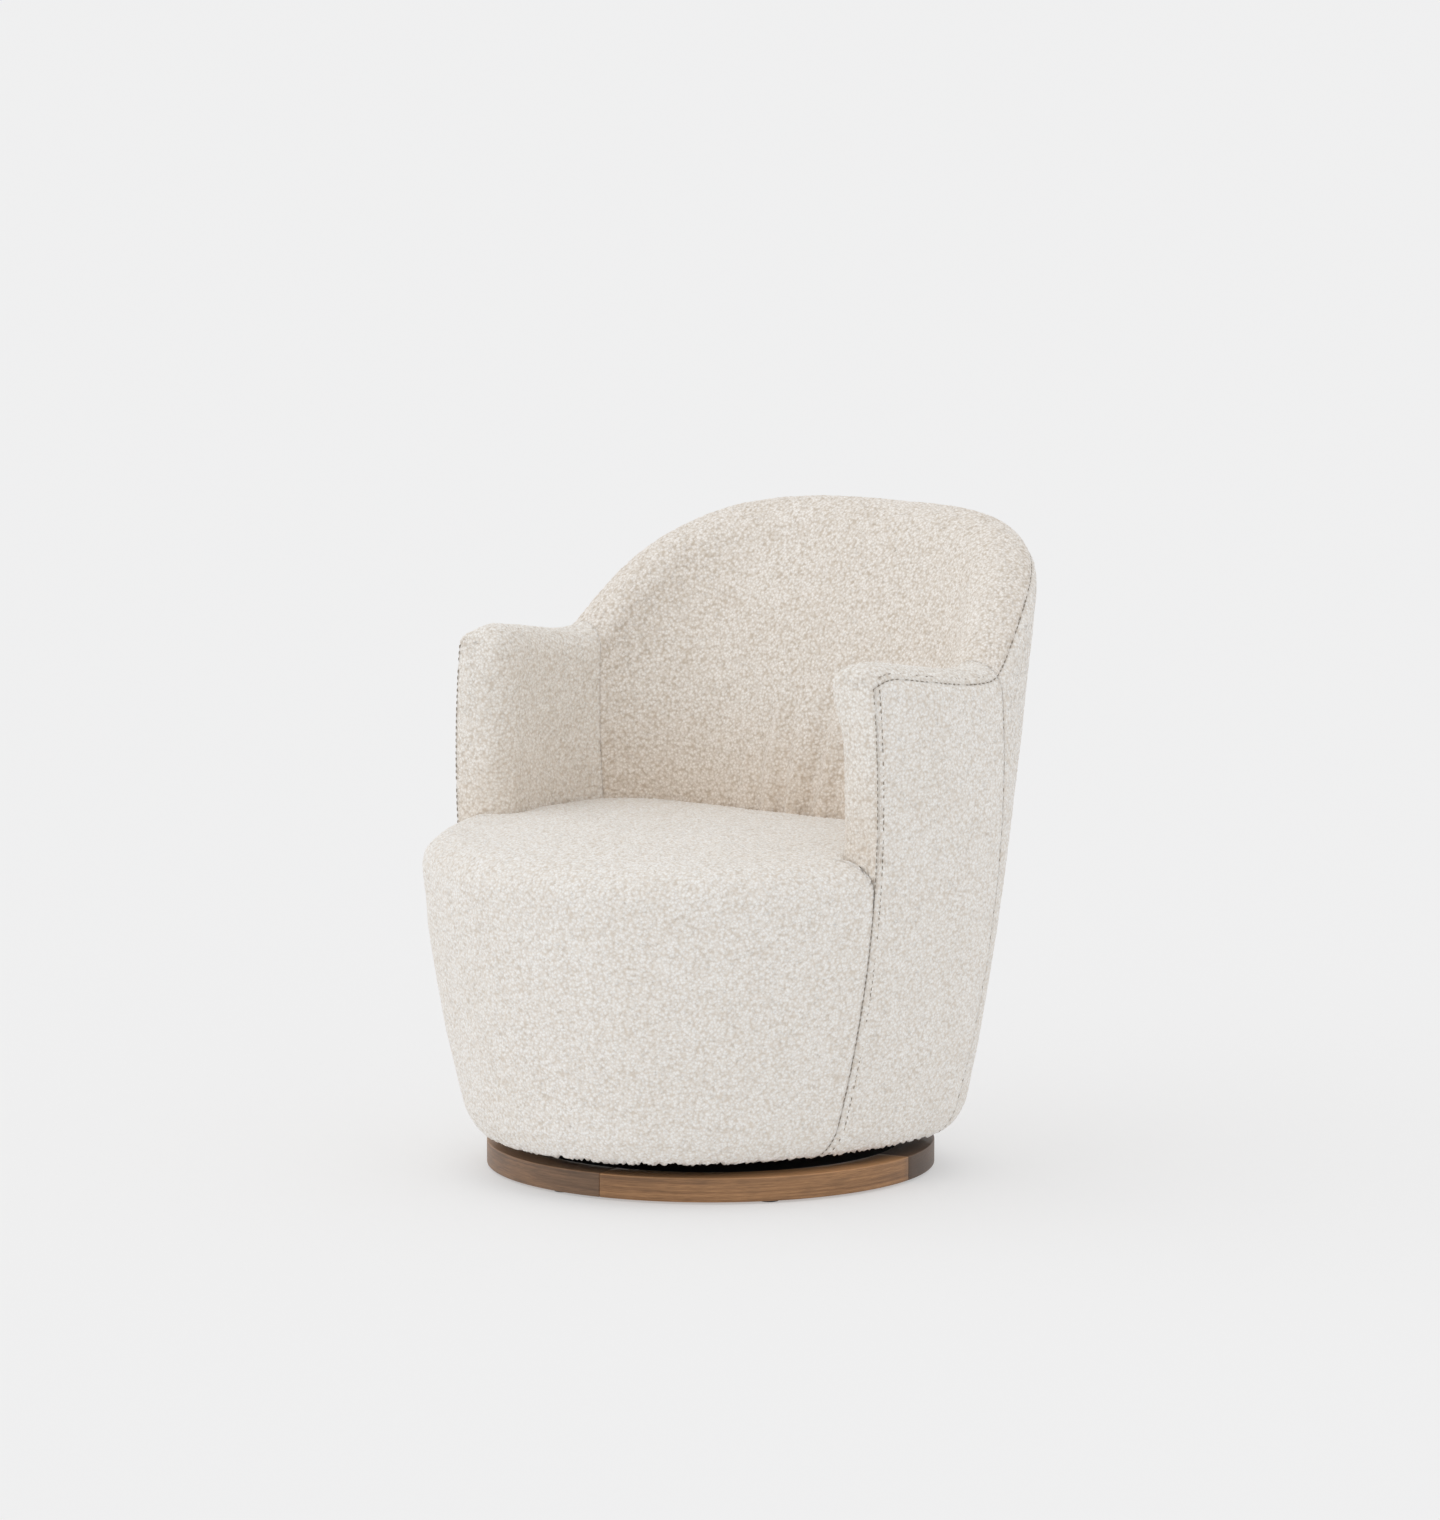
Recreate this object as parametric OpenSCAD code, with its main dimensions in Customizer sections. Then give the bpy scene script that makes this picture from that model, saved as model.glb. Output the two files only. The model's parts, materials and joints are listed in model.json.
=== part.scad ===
// Swivel barrel armchair: a round wooden plinth, a ball-bearing swivel and an upholstered body.
// The front faces -Y, the floor is z = 0 and the swivel turns about the Z axis.
// Left and right are the sitter's own: left is +X.

/* [Body heights] */
// Height of the back above the floor
back_h = 806; // [760:2:900]
// Height of the arms at their front ends
arm_h = 667; // [620:1:700]
// How far the arm tops fall from the front to where the back starts
arm_fall = 32; // [0:1:50]
// Height of the seat cushion's rim
seat_h = 424; // [400:1:450]
// Rise of the seat's middle above its rim
seat_crown = 10; // [0:1:20]

/* [Body outline] */
// Half the body's width where it is widest
belly_half = 365; // [320:1:420]
// Height at which the body is widest
belly_z = 493; // [440:1:560]
// Half the body's width at the hem
hem_half = 293; // [285:1:320]
// Reach of the seat's front from the swivel axis
seat_reach = 368; // [340:1:420]
// Reach of the front at the hem
hem_reach_front = 320; // [300:1:340]
// Reach of the back at the hem
hem_reach_back = 268; // [262:1:300]
// Reach of the back at seat height
waist_reach = 258; // [250:1:300]
// Reach of the back at its very top
top_reach = 383; // [340:1:420]
// How far the widest line of the plan lies behind the swivel axis
widest_y = 66; // [40:1:90]
// Roundness of the plan's front half: 2 is an ellipse, more is squarer
front_round = 2.1; // [2:0.05:2.6]
// Roundness of the back half at the hem
hem_round = 2.25; // [2:0.05:2.6]
// Roundness of the back half at the top
top_round = 3.4; // [2.4:0.1:3.8]
// Height of the curve that tucks the body in at its hem
tuck_h = 42; // [30:1:60]
// How far that curve goes in
tuck_in = 22; // [10:1:26]

/* [Arms and back] */
// Thickness of the arms and the back's top
wall_w = 75; // [70:1:90]
// Extra padding in the small of the back
lumbar = 22; // [0:1:30]
// Reach of the arm fronts ahead of the swivel axis
arm_reach = 93; // [60:1:120]
// Angle round the plan, from the front, at which the arms and sides end and the back starts
seam_angle = 100.5; // [95:0.5:105]
// Steepness of the curve from the arms up to the back
shoulder = 3.5; // [2.5:0.1:5]
// Softness of the sweep from the arms into that curve, as a share of the back's width
sweep = 0.04; // [0.02:0.005:0.06]
// Angle round the roll of the seam along the arms' outer top edge
roll_seam = 33; // [20:1:50]
// Width of the seat's rounded front edge, seen from above
seat_edge_w = 58; // [30:1:70]
// Height of that edge
seat_edge_h = 42; // [30:1:60]

/* [Upholstery] */
// Thickness of the fabric covers with their lining
cover_t = 3; // [2:0.5:5]
// Thickness of the foam on the arms and back
pad_t = 28; // [20:1:30]
// Thickness of the seat foam
seat_foam_t = 96; // [60:1:100]
// Clearance between neighbouring soft layers
soft_gap = 1; // [0.5:0.1:2]
// Opening of the seams between neighbouring covers
seam_gap = 1.2; // [0.6:0.1:3]

/* [Plinth] */
// Diameter of the wooden plinth ring
plinth_d = 560; // [500:5:580]
// Width of the ring seen from above
ring_w = 42; // [30:1:60]
// Height of the ring
ring_h = 30; // [26:1:45]
// Number of quarter pieces that the ring is glued up from
ring_segments = 4;
// Angle of the ring's first joint from the front
ring_joint_angle = 11; // [0:1:89]
// Thickness of the plywood core in the ring
core_t = 24; // [18:1:25]
// Height of the glides
glide_h = 3; // [2:0.5:8]
// Diameter of the glides
glide_d = 24; // [16:1:30]
// Number of glides
glide_count = 6; // [4:1:8]
// Open gap between the ring's top and the body's hem
swivel_gap = 19; // [17:1:30]

/* [Swivel] */
// Diameter of the two swivel plates
plate_d = 230; // [220:5:300]
// Thickness of the swivel plates
plate_t = 3; // [2:0.5:4]
// Diameter of the ball race
race_d = 160; // [120:5:180]
// Radial width of the raised race
race_w = 18; // [14:1:24]
// Diameter of the bearing balls
ball_d = 10; // [8:0.5:12]
// Number of bearing balls
ball_count = 20; // [12:1:24]
// Diameter of the pivot pin
pivot_d = 16; // [12:1:20]
// Running clearance round the pivot pin, on the radius
pivot_clear = 0.06; // [0.02:0.01:0.1]
// Diameter of the screws in the plates
screw_d = 5; // [4:0.5:6]
// Number of screws in each plate
screw_count = 6; // [4:1:8]

/* [Frame] */
// Thickness of the bottom board
board_t = 15; // [12:1:20]
// Thickness of the seat deck
deck_t = 18; // [12:1:24]
// Thickness of the ribs and posts
rib_t = 18; // [12:1:24]
// Depth of the ribs under the deck
rib_depth = 45; // [30:1:60]
// Width of the seat deck's rim
deck_rim = 62; // [50:1:80]
// Thickness of the top rail
rail_t = 18; // [12:1:20]
// Height of the top rail
rail_h = 45; // [30:1:60]
// Thickness of the front panel
panel_t = 4; // [3:0.5:6]
// Width of the posts that carry the arms and back
post_w = 40; // [30:1:60]
// Thickness of those posts
post_depth = 18; // [14:1:18]

/* [Springs and webbing] */
// Diameter of the spring wire
wire_d = 4; // [3:0.5:5]
// Width of a sinuous spring
spring_w = 48; // [40:1:60]
// Distance between neighbouring springs
spring_pitch = 92; // [80:1:110]
// Radius of the springs' bends
bend_r = 12; // [10:1:16]
// Width of the webbing bands in the back
band_w = 50; // [40:1:60]
// Distance between neighbouring webbing bands
band_pitch = 78; // [70:1:90]
// Thickness of the webbing bands
band_t = 1.6; // [1:0.2:3]

/* [Hidden] */

// Fine setting of the true curves
$fn = 64;
// Clearance of a screw or pin in its own hole
hole_clear = 0.1;
// Small play where one rigid piece rests against another
rest_gap = 0.2;
// Rows of points up an outer cover, round a roll and down an inner face
outer_rows = 9;
roll_rows = 6;
inner_rows = 5;
// Columns of points along the front, an arm and the back
front_cols = 20;
arm_cols = 6;
back_cols = 20;
// Rings of points on the seat's top
seat_rings = 4;
edge_rows = 4;
side_rows = 6;

// Colours
wood_colour = "#7d5b40";
ply_colour = "#c9a77a";
black_colour = "#1c1a19";
steel_colour = "#9a9da0";
foam_colour = "#f0e6c8";
fabric_colour = "#dcd5c8";
inner_fabric_colour = "#cfc5b5";

// Heights of the plinth and the swivel
ring_z = glide_h;
ring_top = ring_z + ring_h;
core_top = ring_top - plate_t;
hem_z = ring_top + swivel_gap;
dust_t = 1;
board_z = hem_z + dust_t;
upper_plate_z = board_z - plate_t;
lower_plate_top = core_top + plate_t;
ball_z = (lower_plate_top + upper_plate_z) / 2;
race_gap = 3;
groove_r = ball_d / 2 + 0.15;
screw_pcd = (race_d + race_w + plate_d) / 2;
screw_head_d = 2 * screw_d;
screw_head_h = 0.6 * screw_d;
screw_len = 15;
bush_wall = 3;
bush_flange = 4;
bush_flange_t = 1.2;
nut_h = 8;
washer_t = 2;
pivot_head_h = 4;
pivot_hole_d = 4 * pivot_d;

// Body sections
roll_r = wall_w / 2;
deck_top = seat_h - seat_foam_t - 22;
deck_z = deck_top - deck_t;
board_top = board_z + board_t;
panel_off = cover_t + 2 * soft_gap;
frame_off = panel_off + panel_t + 3 * soft_gap;
inner_frame_off = roll_r - rail_t / 2 - 1.5;
tuck_z = seat_h - 40;
return_z = mix(deck_top, tuck_z, 0.5);
rail_top_drop = pad_t + cover_t + 5;
seam_s = 2 + (seam_angle - 90) / 45;
seat_centre_y = -150;
join_h = arm_h - arm_fall;

function clamp01(v) = min(1, max(0, v));
function mix(a, b, u) = a + (b - a) * u;

// Size of the plan at height z
function half_w(z) = belly_half - (belly_half - hem_half) * pow((z - belly_z) / (belly_z - hem_z), 2);
function front_reach(z) = mix(hem_reach_front, seat_reach, sin(90 * clamp01((z - hem_z) / (seat_h - hem_z))));
function back_reach(z) =
    let(v = (z - hem_z) / (back_h - hem_z), m = (seat_h - hem_z) / (back_h - hem_z))
    hem_reach_back * (v - m) * (v - 1) / m
    + waist_reach * v * (v - 1) / (m * (m - 1))
    + top_reach * v * (v - m) / (1 - m);
function back_round(z) = mix(hem_round, top_round, (z - hem_z) / (back_h - hem_z));
function tuck(z) = tuck_in * (1 - sqrt(1 - pow(clamp01(1 - (z - hem_z) / tuck_h), 2)));

// Distance of the plan from (0, widest_y) at angle a from the front, height z, off inside the surface
function plan_r(a, z, off) =
    let(d = off + tuck(z), front = cos(a) > 0,
        across = half_w(z) - d,
        along = (front ? front_reach(z) + widest_y : back_reach(z) - widest_y) - d,
        n = front ? front_round : back_round(z))
    pow(pow(abs(sin(a)) / across, n) + pow(abs(cos(a)) / along, n), -1 / n);

// Half the plan's width at depth y ahead of its widest line
function side_x(y, z, off) =
    let(d = off + tuck(z), across = half_w(z) - d, along = front_reach(z) + widest_y - d)
    across * pow(1 - pow((widest_y - y) / along, front_round), 1 / front_round);

// Depth of the plan's front and back edges at x across
function front_y(x, z, off) =
    let(d = off + tuck(z), u = abs(x) / (half_w(z) - d))
    widest_y - (front_reach(z) + widest_y - d) * pow(1 - pow(u, front_round), 1 / front_round);
function back_y(x, z, off) =
    let(d = off + tuck(z), u = abs(x) / (half_w(z) - d), n = back_round(z))
    widest_y + (back_reach(z) - widest_y - d) * pow(1 - pow(u, n), 1 / n);

// A station s goes round the body: 0 the front, 1 the arm front, 2 the widest line, 4 the back's middle
function fold(s) = s > 4 ? 8 - s : abs(s);
function side_of(s) = s > 4 || s < 0 ? -1 : 1;
function wall(s, z, off) =
    let(k = fold(s), w = side_of(s))
    k <= 1 ?
        let(corner = atan2(side_x(-arm_reach, z, off), widest_y + arm_reach), a = k * corner,
            r = plan_r(a, z, off))
        [w * r * sin(a), widest_y - r * cos(a), z]
    : k <= 2 ? let(y = mix(-arm_reach, widest_y, k - 1)) [w * side_x(y, z, off), y, z]
    : let(a = 90 + 45 * (k - 2), r = plan_r(a, z, off)) [w * r * sin(a), widest_y - r * cos(a), z];

// Height of the arms' and back's top edge at station s
function top_h(s) =
    let(k = fold(s), v = (k - seam_s) / (4 - seam_s), rise = (sqrt(v * v + sweep * sweep) + v) / 2)
    arm_h - arm_fall * clamp01((k - 1) / (seam_s - 1))
    + (back_h - join_h) * (1 - pow(1 - clamp01(rise), shoulder));

// How thick the wall is at station s and height z, measured in from its outer face
function wall_depth(s, z) =
    let(k = fold(s), span = top_h(s) - roll_r - seat_h, u = clamp01((z - seat_h) / span))
    wall_w + lumbar * sin(90 * clamp01((k - seam_s) / (4 - seam_s))) * (1 - pow(u, 2));

// A point on the outer face, round the roll at angle f, and on the inner face, all d under the surface
function outer_pt(s, u, d) = wall(s, mix(hem_z, top_h(s) - roll_r, pow(u, 1.7)), d);
function roll_pt(s, f, d) = wall(s, top_h(s) - roll_r + (roll_r - d) * sin(f), roll_r - (roll_r - d) * cos(f));
function inner_pt(s, u, d, low) =
    let(z = mix(top_h(s) - roll_r, low, u)) wall(s, z, wall_depth(s, z) - d);

// A column of points up the outer face to the seam, and one from the seam over and down inside
function outer_column(s, d) = concat(
    [for (i = [0:outer_rows]) outer_pt(s, i / outer_rows, d)],
    [for (i = [1:2]) roll_pt(s, (roll_seam - 3) * i / 2, d)]
);
function inner_column(s, d, first, low) = concat(
    [for (i = [0:roll_rows]) roll_pt(s, mix(first, 180, i / roll_rows), d)],
    [for (i = [1:inner_rows]) inner_pt(s, i / inner_rows, d, low)]
);

// Closed solid between two sheets of points that have the same rows and columns
module slab(face, back) {
    n = len(face);
    m = len(face[0]);
    k = n * m;
    points = concat([for (c = face) each c], [for (c = back) each c]);
    skin = [for (i = [0:n - 2], j = [0:m - 2]) each [
        [i * m + j, i * m + j + 1, (i + 1) * m + j + 1],
        [i * m + j, (i + 1) * m + j + 1, (i + 1) * m + j]
    ]];
    lining = [for (t = skin) [t[2] + k, t[1] + k, t[0] + k]];
    rim = concat(
        [for (i = [0:n - 2]) [i * m, (i + 1) * m]],
        [for (j = [0:m - 2]) [(n - 1) * m + j, (n - 1) * m + j + 1]],
        [for (i = [n - 1:-1:1]) [i * m + m - 1, (i - 1) * m + m - 1]],
        [for (j = [m - 1:-1:1]) [j, j - 1]]
    );
    edges = [for (e = rim) each [[e[0], e[1], e[1] + k], [e[0], e[1] + k, e[0] + k]]];
    polyhedron(points, concat(skin, lining, edges));
}

// Triangles between rings of m points, each ring going round, numbered from first
function ring_faces(n, m, first) = [for (i = [0:n - 2], j = [0:m - 1]) each
    let(a = first + i * m, b = a + m, k = (j + 1) % m) [[a + j, b + j, b + k], [a + j, b + k, a + k]]];
function fan_faces(m, first, tip) = [for (j = [0:m - 1]) [first + j, tip, first + (j + 1) % m]];
function flipped(faces) = [for (t = faces) [t[2], t[1], t[0]]];

// Closed solid from rings of points, with a point on the top and one on the bottom
module stack(rings, top, bottom) {
    n = len(rings);
    m = len(rings[0]);
    points = concat([for (r = rings) each r], [top, bottom]);
    polyhedron(points, concat(ring_faces(n, m, 0), fan_faces(m, (n - 1) * m, n * m),
                              flipped(fan_faces(m, 0, n * m + 1))));
}

// Hollow cap between two lists of rings with a point on the top of each, open underneath
module cap(outer, outer_top, inner, inner_top) {
    n = len(outer);
    m = len(outer[0]);
    k = n * m + 1;
    points = concat([for (r = outer) each r], [outer_top], [for (r = inner) each r], [inner_top]);
    rim = [for (j = [0:m - 1]) let(q = (j + 1) % m) each [[j, q, k + q], [j, k + q, k + j]]];
    polyhedron(points, concat(
        ring_faces(n, m, 0), fan_faces(m, (n - 1) * m, n * m),
        flipped(ring_faces(n, m, k)), flipped(fan_faces(m, k + (n - 1) * m, k + n * m)),
        rim));
}

// Stations from a to b in n steps
function steps(a, b, n) = [for (i = [0:n]) mix(a, b, i / n)];
// Station a distance behind the arms' fronts
function behind_arm_front(d) = 1 + d / (widest_y + arm_reach);
// Station step that opens a seam at station s by the given width
function seam_step(s, gap) = gap / norm(wall(s + 0.5, seat_h, 0) - wall(s - 0.5, seat_h, 0));

// Plan outline at height z, off inside the surface
function outline(z, off) = [for (s = steps(-1, 7 - 8 / 72, 71)) let(p = wall(s, z, off)) [p[0], p[1]]];

module plate(outline_points, z, t) {
    translate([0, 0, z])
        linear_extrude(t)
            polygon(outline_points);
}

// Copies of the children round the Z axis
module round_about(count, radius, first = 0) {
    for (i = [0:count - 1])
        rotate([0, 0, first + 360 * i / count])
            translate([radius, 0, 0])
                children();
}

// ---------- Plinth ----------

module ring_segment(i) {
    first = -90 + ring_joint_angle + 360 / ring_segments * i;
    color(wood_colour)
        rotate([0, 0, first])
            translate([0, 0, ring_z])
                rotate_extrude(angle = 360 / ring_segments, $fn = 128)
                    translate([plinth_d / 2 - ring_w, 0])
                        square([ring_w, ring_h]);
}

module ring_segment_1() { ring_segment(0); }
module ring_segment_2() { ring_segment(1); }
module ring_segment_3() { ring_segment(2); }
module ring_segment_4() { ring_segment(3); }

module plinth_core() {
    color(black_colour)
        difference() {
            translate([0, 0, core_top - core_t])
                cylinder(h = core_t, d = plinth_d - 2 * ring_w - 2 * hole_clear, $fn = 128);
            cylinder(h = ring_top, d = pivot_hole_d);
            round_about(screw_count, screw_pcd / 2)
                translate([0, 0, core_top - screw_len - 1])
                    cylinder(h = screw_len + 2, d = screw_d + 2 * hole_clear);
        }
}

module glides() {
    color(black_colour)
        round_about(glide_count, (plinth_d - ring_w) / 2, ring_joint_angle - 45)
            cylinder(h = glide_h, d = glide_d);
}

// ---------- Swivel ----------

module race_profile(flip) {
    // Raised race with a groove for the balls, from a plate's face at z = 0 upwards
    height = (upper_plate_z - lower_plate_top - race_gap) / 2;
    difference() {
        translate([race_d / 2 - race_w / 2, flip ? -height : 0])
            square([race_w, height]);
        translate([race_d / 2, flip ? -height - race_gap / 2 : height + race_gap / 2])
            circle(r = groove_r);
    }
}

module plate_screw_holes(z) {
    round_about(screw_count, screw_pcd / 2)
        translate([0, 0, z - 1])
            cylinder(h = plate_t + 2, d = screw_d + 2 * hole_clear);
}

module lower_swivel_plate() {
    color(steel_colour)
        difference() {
            union() {
                translate([0, 0, core_top])
                    cylinder(h = plate_t, d = plate_d);
                translate([0, 0, lower_plate_top])
                    rotate_extrude()
                        race_profile(false);
            }
            translate([0, 0, core_top - 1])
                cylinder(h = plate_t + 2, d = pivot_d + 2 * hole_clear);
            plate_screw_holes(core_top);
        }
}

module upper_swivel_plate() {
    color(steel_colour)
        difference() {
            union() {
                translate([0, 0, upper_plate_z])
                    cylinder(h = plate_t, d = plate_d);
                translate([0, 0, upper_plate_z])
                    rotate_extrude()
                        race_profile(true);
            }
            translate([0, 0, upper_plate_z - 1])
                cylinder(h = plate_t + 2, d = pivot_d + 2 * bush_wall + 2 * hole_clear);
            plate_screw_holes(upper_plate_z);
        }
}

module plate_screw() {
    // Head above z = 0 and shank below
    cylinder(h = screw_head_h, d1 = screw_head_d, d2 = screw_head_d - 2, $fn = 48);
    translate([0, 0, -plate_t - screw_len + 2])
        cylinder(h = plate_t + screw_len - 2, d = screw_d, $fn = 48);
}

module lower_plate_screws() {
    color(steel_colour)
        round_about(screw_count, screw_pcd / 2)
            translate([0, 0, lower_plate_top])
                plate_screw();
}

module upper_plate_screws() {
    color(steel_colour)
        round_about(screw_count, screw_pcd / 2)
            translate([0, 0, upper_plate_z])
                mirror([0, 0, 1])
                    plate_screw();
}

module pivot_bush() {
    color(black_colour)
        difference() {
            union() {
                translate([0, 0, upper_plate_z])
                    cylinder(h = plate_t, d = pivot_d + 2 * bush_wall);
                translate([0, 0, board_z])
                    cylinder(h = bush_flange_t, d = pivot_d + 2 * bush_wall + 2 * bush_flange);
            }
            translate([0, 0, upper_plate_z - 1])
                cylinder(h = plate_t + bush_flange_t + 2, d = pivot_d + 2 * pivot_clear);
        }
}

washer_z = board_z + bush_flange_t + rest_gap;

module pivot_pin() {
    color(steel_colour) {
        translate([0, 0, core_top - pivot_head_h])
            cylinder(h = pivot_head_h, d = 1.6 * pivot_d);
        translate([0, 0, core_top])
            cylinder(h = washer_z + washer_t + nut_h + 2 - core_top, d = pivot_d);
    }
}

module pivot_washer() {
    color(steel_colour)
        translate([0, 0, washer_z])
            difference() {
                cylinder(h = washer_t, d = 1.9 * pivot_d);
                translate([0, 0, -1])
                    cylinder(h = washer_t + 2, d = pivot_d + 2 * hole_clear);
            }
}

module pivot_nut() {
    color(steel_colour)
        translate([0, 0, washer_z + washer_t])
            difference() {
                cylinder(h = nut_h, d = 1.75 * pivot_d, $fn = 6);
                translate([0, 0, -1])
                    cylinder(h = nut_h + 2, d = pivot_d + hole_clear);
            }
}

module ball_retainer() {
    color(black_colour)
        difference() {
            translate([0, 0, ball_z - 0.6])
                difference() {
                    cylinder(h = 1.2, d = race_d + race_w - 2);
                    translate([0, 0, -1])
                        cylinder(h = 3.2, d = race_d - race_w + 2);
                }
            round_about(ball_count, race_d / 2)
                translate([0, 0, ball_z - 2])
                    cylinder(h = 4, d = ball_d + 2 * hole_clear, $fn = 48);
        }
}

module bearing_balls() {
    color(steel_colour)
        round_about(ball_count, race_d / 2)
            translate([0, 0, ball_z])
                sphere(d = ball_d, $fn = 48);
}

// ---------- Wooden frame ----------

module bottom_board() {
    color(ply_colour)
        difference() {
            plate(outline(hem_z, panel_off), board_z, board_t);
            translate([0, 0, board_z - 1])
                cylinder(h = board_t + 2, d = pivot_hole_d);
            round_about(screw_count, screw_pcd / 2)
                translate([0, 0, board_z - 1])
                    cylinder(h = screw_len, d = screw_d + 2 * hole_clear);
        }
}

module dust_cover() {
    color(black_colour)
        difference() {
            plate(outline(hem_z, panel_off), hem_z, dust_t);
            translate([0, 0, hem_z - 1])
                cylinder(h = dust_t + 2, d = plate_d + 4);
        }
}

module seat_deck() {
    color(ply_colour)
        difference() {
            plate(outline(deck_z, frame_off), deck_z, deck_t);
            plate(outline(deck_z, frame_off + deck_rim), deck_z - 1, deck_t + 2);
        }
}

// Upright plank in the vertical plane at angle a, following the outline from z0 to z1
module upright(a, z0, z1, off, depth, width, n = 8) {
    outside = [for (z = steps(z0, z1, n)) [plan_r(a, z, off), z]];
    inside = [for (z = steps(z1, z0, n)) [plan_r(a, z, off) - depth, z]];
    translate([0, widest_y, 0])
        rotate([0, 0, a - 90])
            translate([0, width / 2, 0])
                rotate([90, 0, 0])
                    linear_extrude(width)
                        polygon(concat(outside, inside));
}

module rib(i) {
    color(ply_colour)
        upright(22.5 + 45 * i, board_top, deck_z, frame_off, rib_depth, rib_t);
}

module rib_1() { rib(0); }
module rib_2() { rib(1); }
module rib_3() { rib(2); }
module rib_4() { rib(3); }
module rib_5() { rib(4); }
module rib_6() { rib(5); }
module rib_7() { rib(6); }
module rib_8() { rib(7); }

module front_panel() {
    s1 = 1 - seam_step(1, rib_t);
    rows = steps(hem_z + 1.4 * tuck_h, deck_top, 8);
    color(ply_colour)
        slab([for (s = steps(-s1, s1, front_cols)) [for (z = rows) wall(s, z, panel_off)]],
             [for (s = steps(-s1, s1, front_cols)) [for (z = rows) wall(s, z, panel_off + panel_t)]]);
}

function rail_top(s) = top_h(s) - rail_top_drop;
function rail_column(s, off) = [for (z = steps(rail_top(s) - rail_h, rail_top(s), 2)) wall(s, z, off)];

module top_rail() {
    s0 = behind_arm_front(pad_t + cover_t);
    arm = steps(s0, seam_s, arm_cols);
    back = steps(seam_s, 8 - seam_s, back_cols);
    columns = concat(arm, [for (i = [1:len(back) - 2]) back[i]], [for (i = [arm_cols:-1:0]) 8 - arm[i]]);
    color(ply_colour)
        slab([for (s = columns) rail_column(s, inner_frame_off)],
             [for (s = columns) rail_column(s, inner_frame_off + rail_t)]);
}

// Post between the seat deck and the top rail, following the outline from station a for its width
module post(a) {
    columns = steps(a, a + seam_step(a, post_w), 2);
    color(ply_colour)
        slab([for (s = columns) post_column(s, inner_frame_off - 2)],
             [for (s = columns) post_column(s, inner_frame_off - 2 + post_depth)]);
}
function post_column(s, off) = [for (z = steps(deck_top, rail_top(s) - rail_h - 2, 6)) wall(s, z, off)];

module left_arm_post() { post(behind_arm_front(pad_t + cover_t)); }
module right_arm_post() { mirror([1, 0, 0]) left_arm_post(); }
module left_side_post() { post(2); }
module right_side_post() { mirror([1, 0, 0]) left_side_post(); }
module left_back_post() { post(3); }
module right_back_post() { mirror([1, 0, 0]) left_back_post(); }
module centre_back_post() { post(4 - seam_step(4, post_w / 2)); }

// ---------- Springs and webbing ----------

spring_z = deck_top + wire_d / 2 + 1;
leg_pitch = 2 * bend_r;
spring_room = 10;
deck_inner_off = frame_off + deck_rim;
function spring_x(i) = (i - 2) * spring_pitch;
function spring_edge_x(i) = abs(spring_x(i)) + spring_w / 2;
function spring_front(i) = front_y(spring_edge_x(i), deck_z, deck_inner_off);
function spring_back(i) = back_y(spring_edge_x(i), deck_z, deck_inner_off);
function spring_legs(i) =
    2 * floor((spring_back(i) - spring_front(i) - 2 * spring_room) / (2 * leg_pitch)) + 1;
function spring_start(i) = (spring_front(i) + spring_back(i) - (spring_legs(i) - 1) * leg_pitch) / 2;

// One sinuous spring: straight legs across, joined by half-round bends
module seat_spring(i) {
    leg = spring_w - 2 * bend_r;
    n = spring_legs(i);
    color(steel_colour)
        translate([spring_x(i), spring_start(i), spring_z]) {
            for (j = [0:n - 1])
                translate([-leg / 2, j * leg_pitch, 0])
                    rotate([0, 90, 0])
                        cylinder(h = leg, d = wire_d, $fn = 24);
            for (j = [0:n - 2])
                translate([(j % 2 == 0 ? 1 : -1) * leg / 2, (j + 0.5) * leg_pitch, 0])
                    rotate([0, 0, j % 2 == 0 ? -90 : 90])
                        rotate_extrude(angle = 180)
                            translate([bend_r, 0])
                                circle(d = wire_d, $fn = 24);
        }
}

module seat_spring_1() { seat_spring(0); }
module seat_spring_2() { seat_spring(1); }
module seat_spring_3() { seat_spring(2); }
module seat_spring_4() { seat_spring(3); }
module seat_spring_5() { seat_spring(4); }

// Clips that hold the end legs of every spring to the deck
clip_l = 20;
clip_t = 1.5;
clip_hold = 18;
clip_play = 0.2;

// One clip round a leg that lies along X, with a tongue that runs reach along Y onto the deck
module spring_clip(reach) {
    rotate([0, 90, 0])
        difference() {
            cylinder(h = clip_l, d = wire_d + 2 * clip_play + 2 * clip_t, center = true, $fn = 32);
            cylinder(h = clip_l + 2, d = wire_d + 2 * clip_play, center = true, $fn = 32);
        }
    translate([-clip_l / 2, wire_d / 2 + clip_play + clip_t / 2, deck_top - spring_z])
        cube([clip_l, reach + clip_hold - wire_d / 2 - clip_play, clip_t]);
}

module spring_clips() {
    color(steel_colour)
        for (i = [0:4]) {
            y0 = spring_start(i);
            y1 = y0 + (spring_legs(i) - 1) * leg_pitch;
            translate([spring_x(i), y0, spring_z])
                rotate([0, 0, 180])
                    spring_clip(y0 - spring_front(i));
            translate([spring_x(i), y1, spring_z])
                spring_clip(spring_back(i) - y1);
        }
}

pad_z = spring_z + wire_d / 2 + clip_t + soft_gap;
felt_t = 3;

module spring_pad() {
    color(inner_fabric_colour)
        plate(outline(deck_z, deck_inner_off - spring_room), pad_z, felt_t);
}

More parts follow.
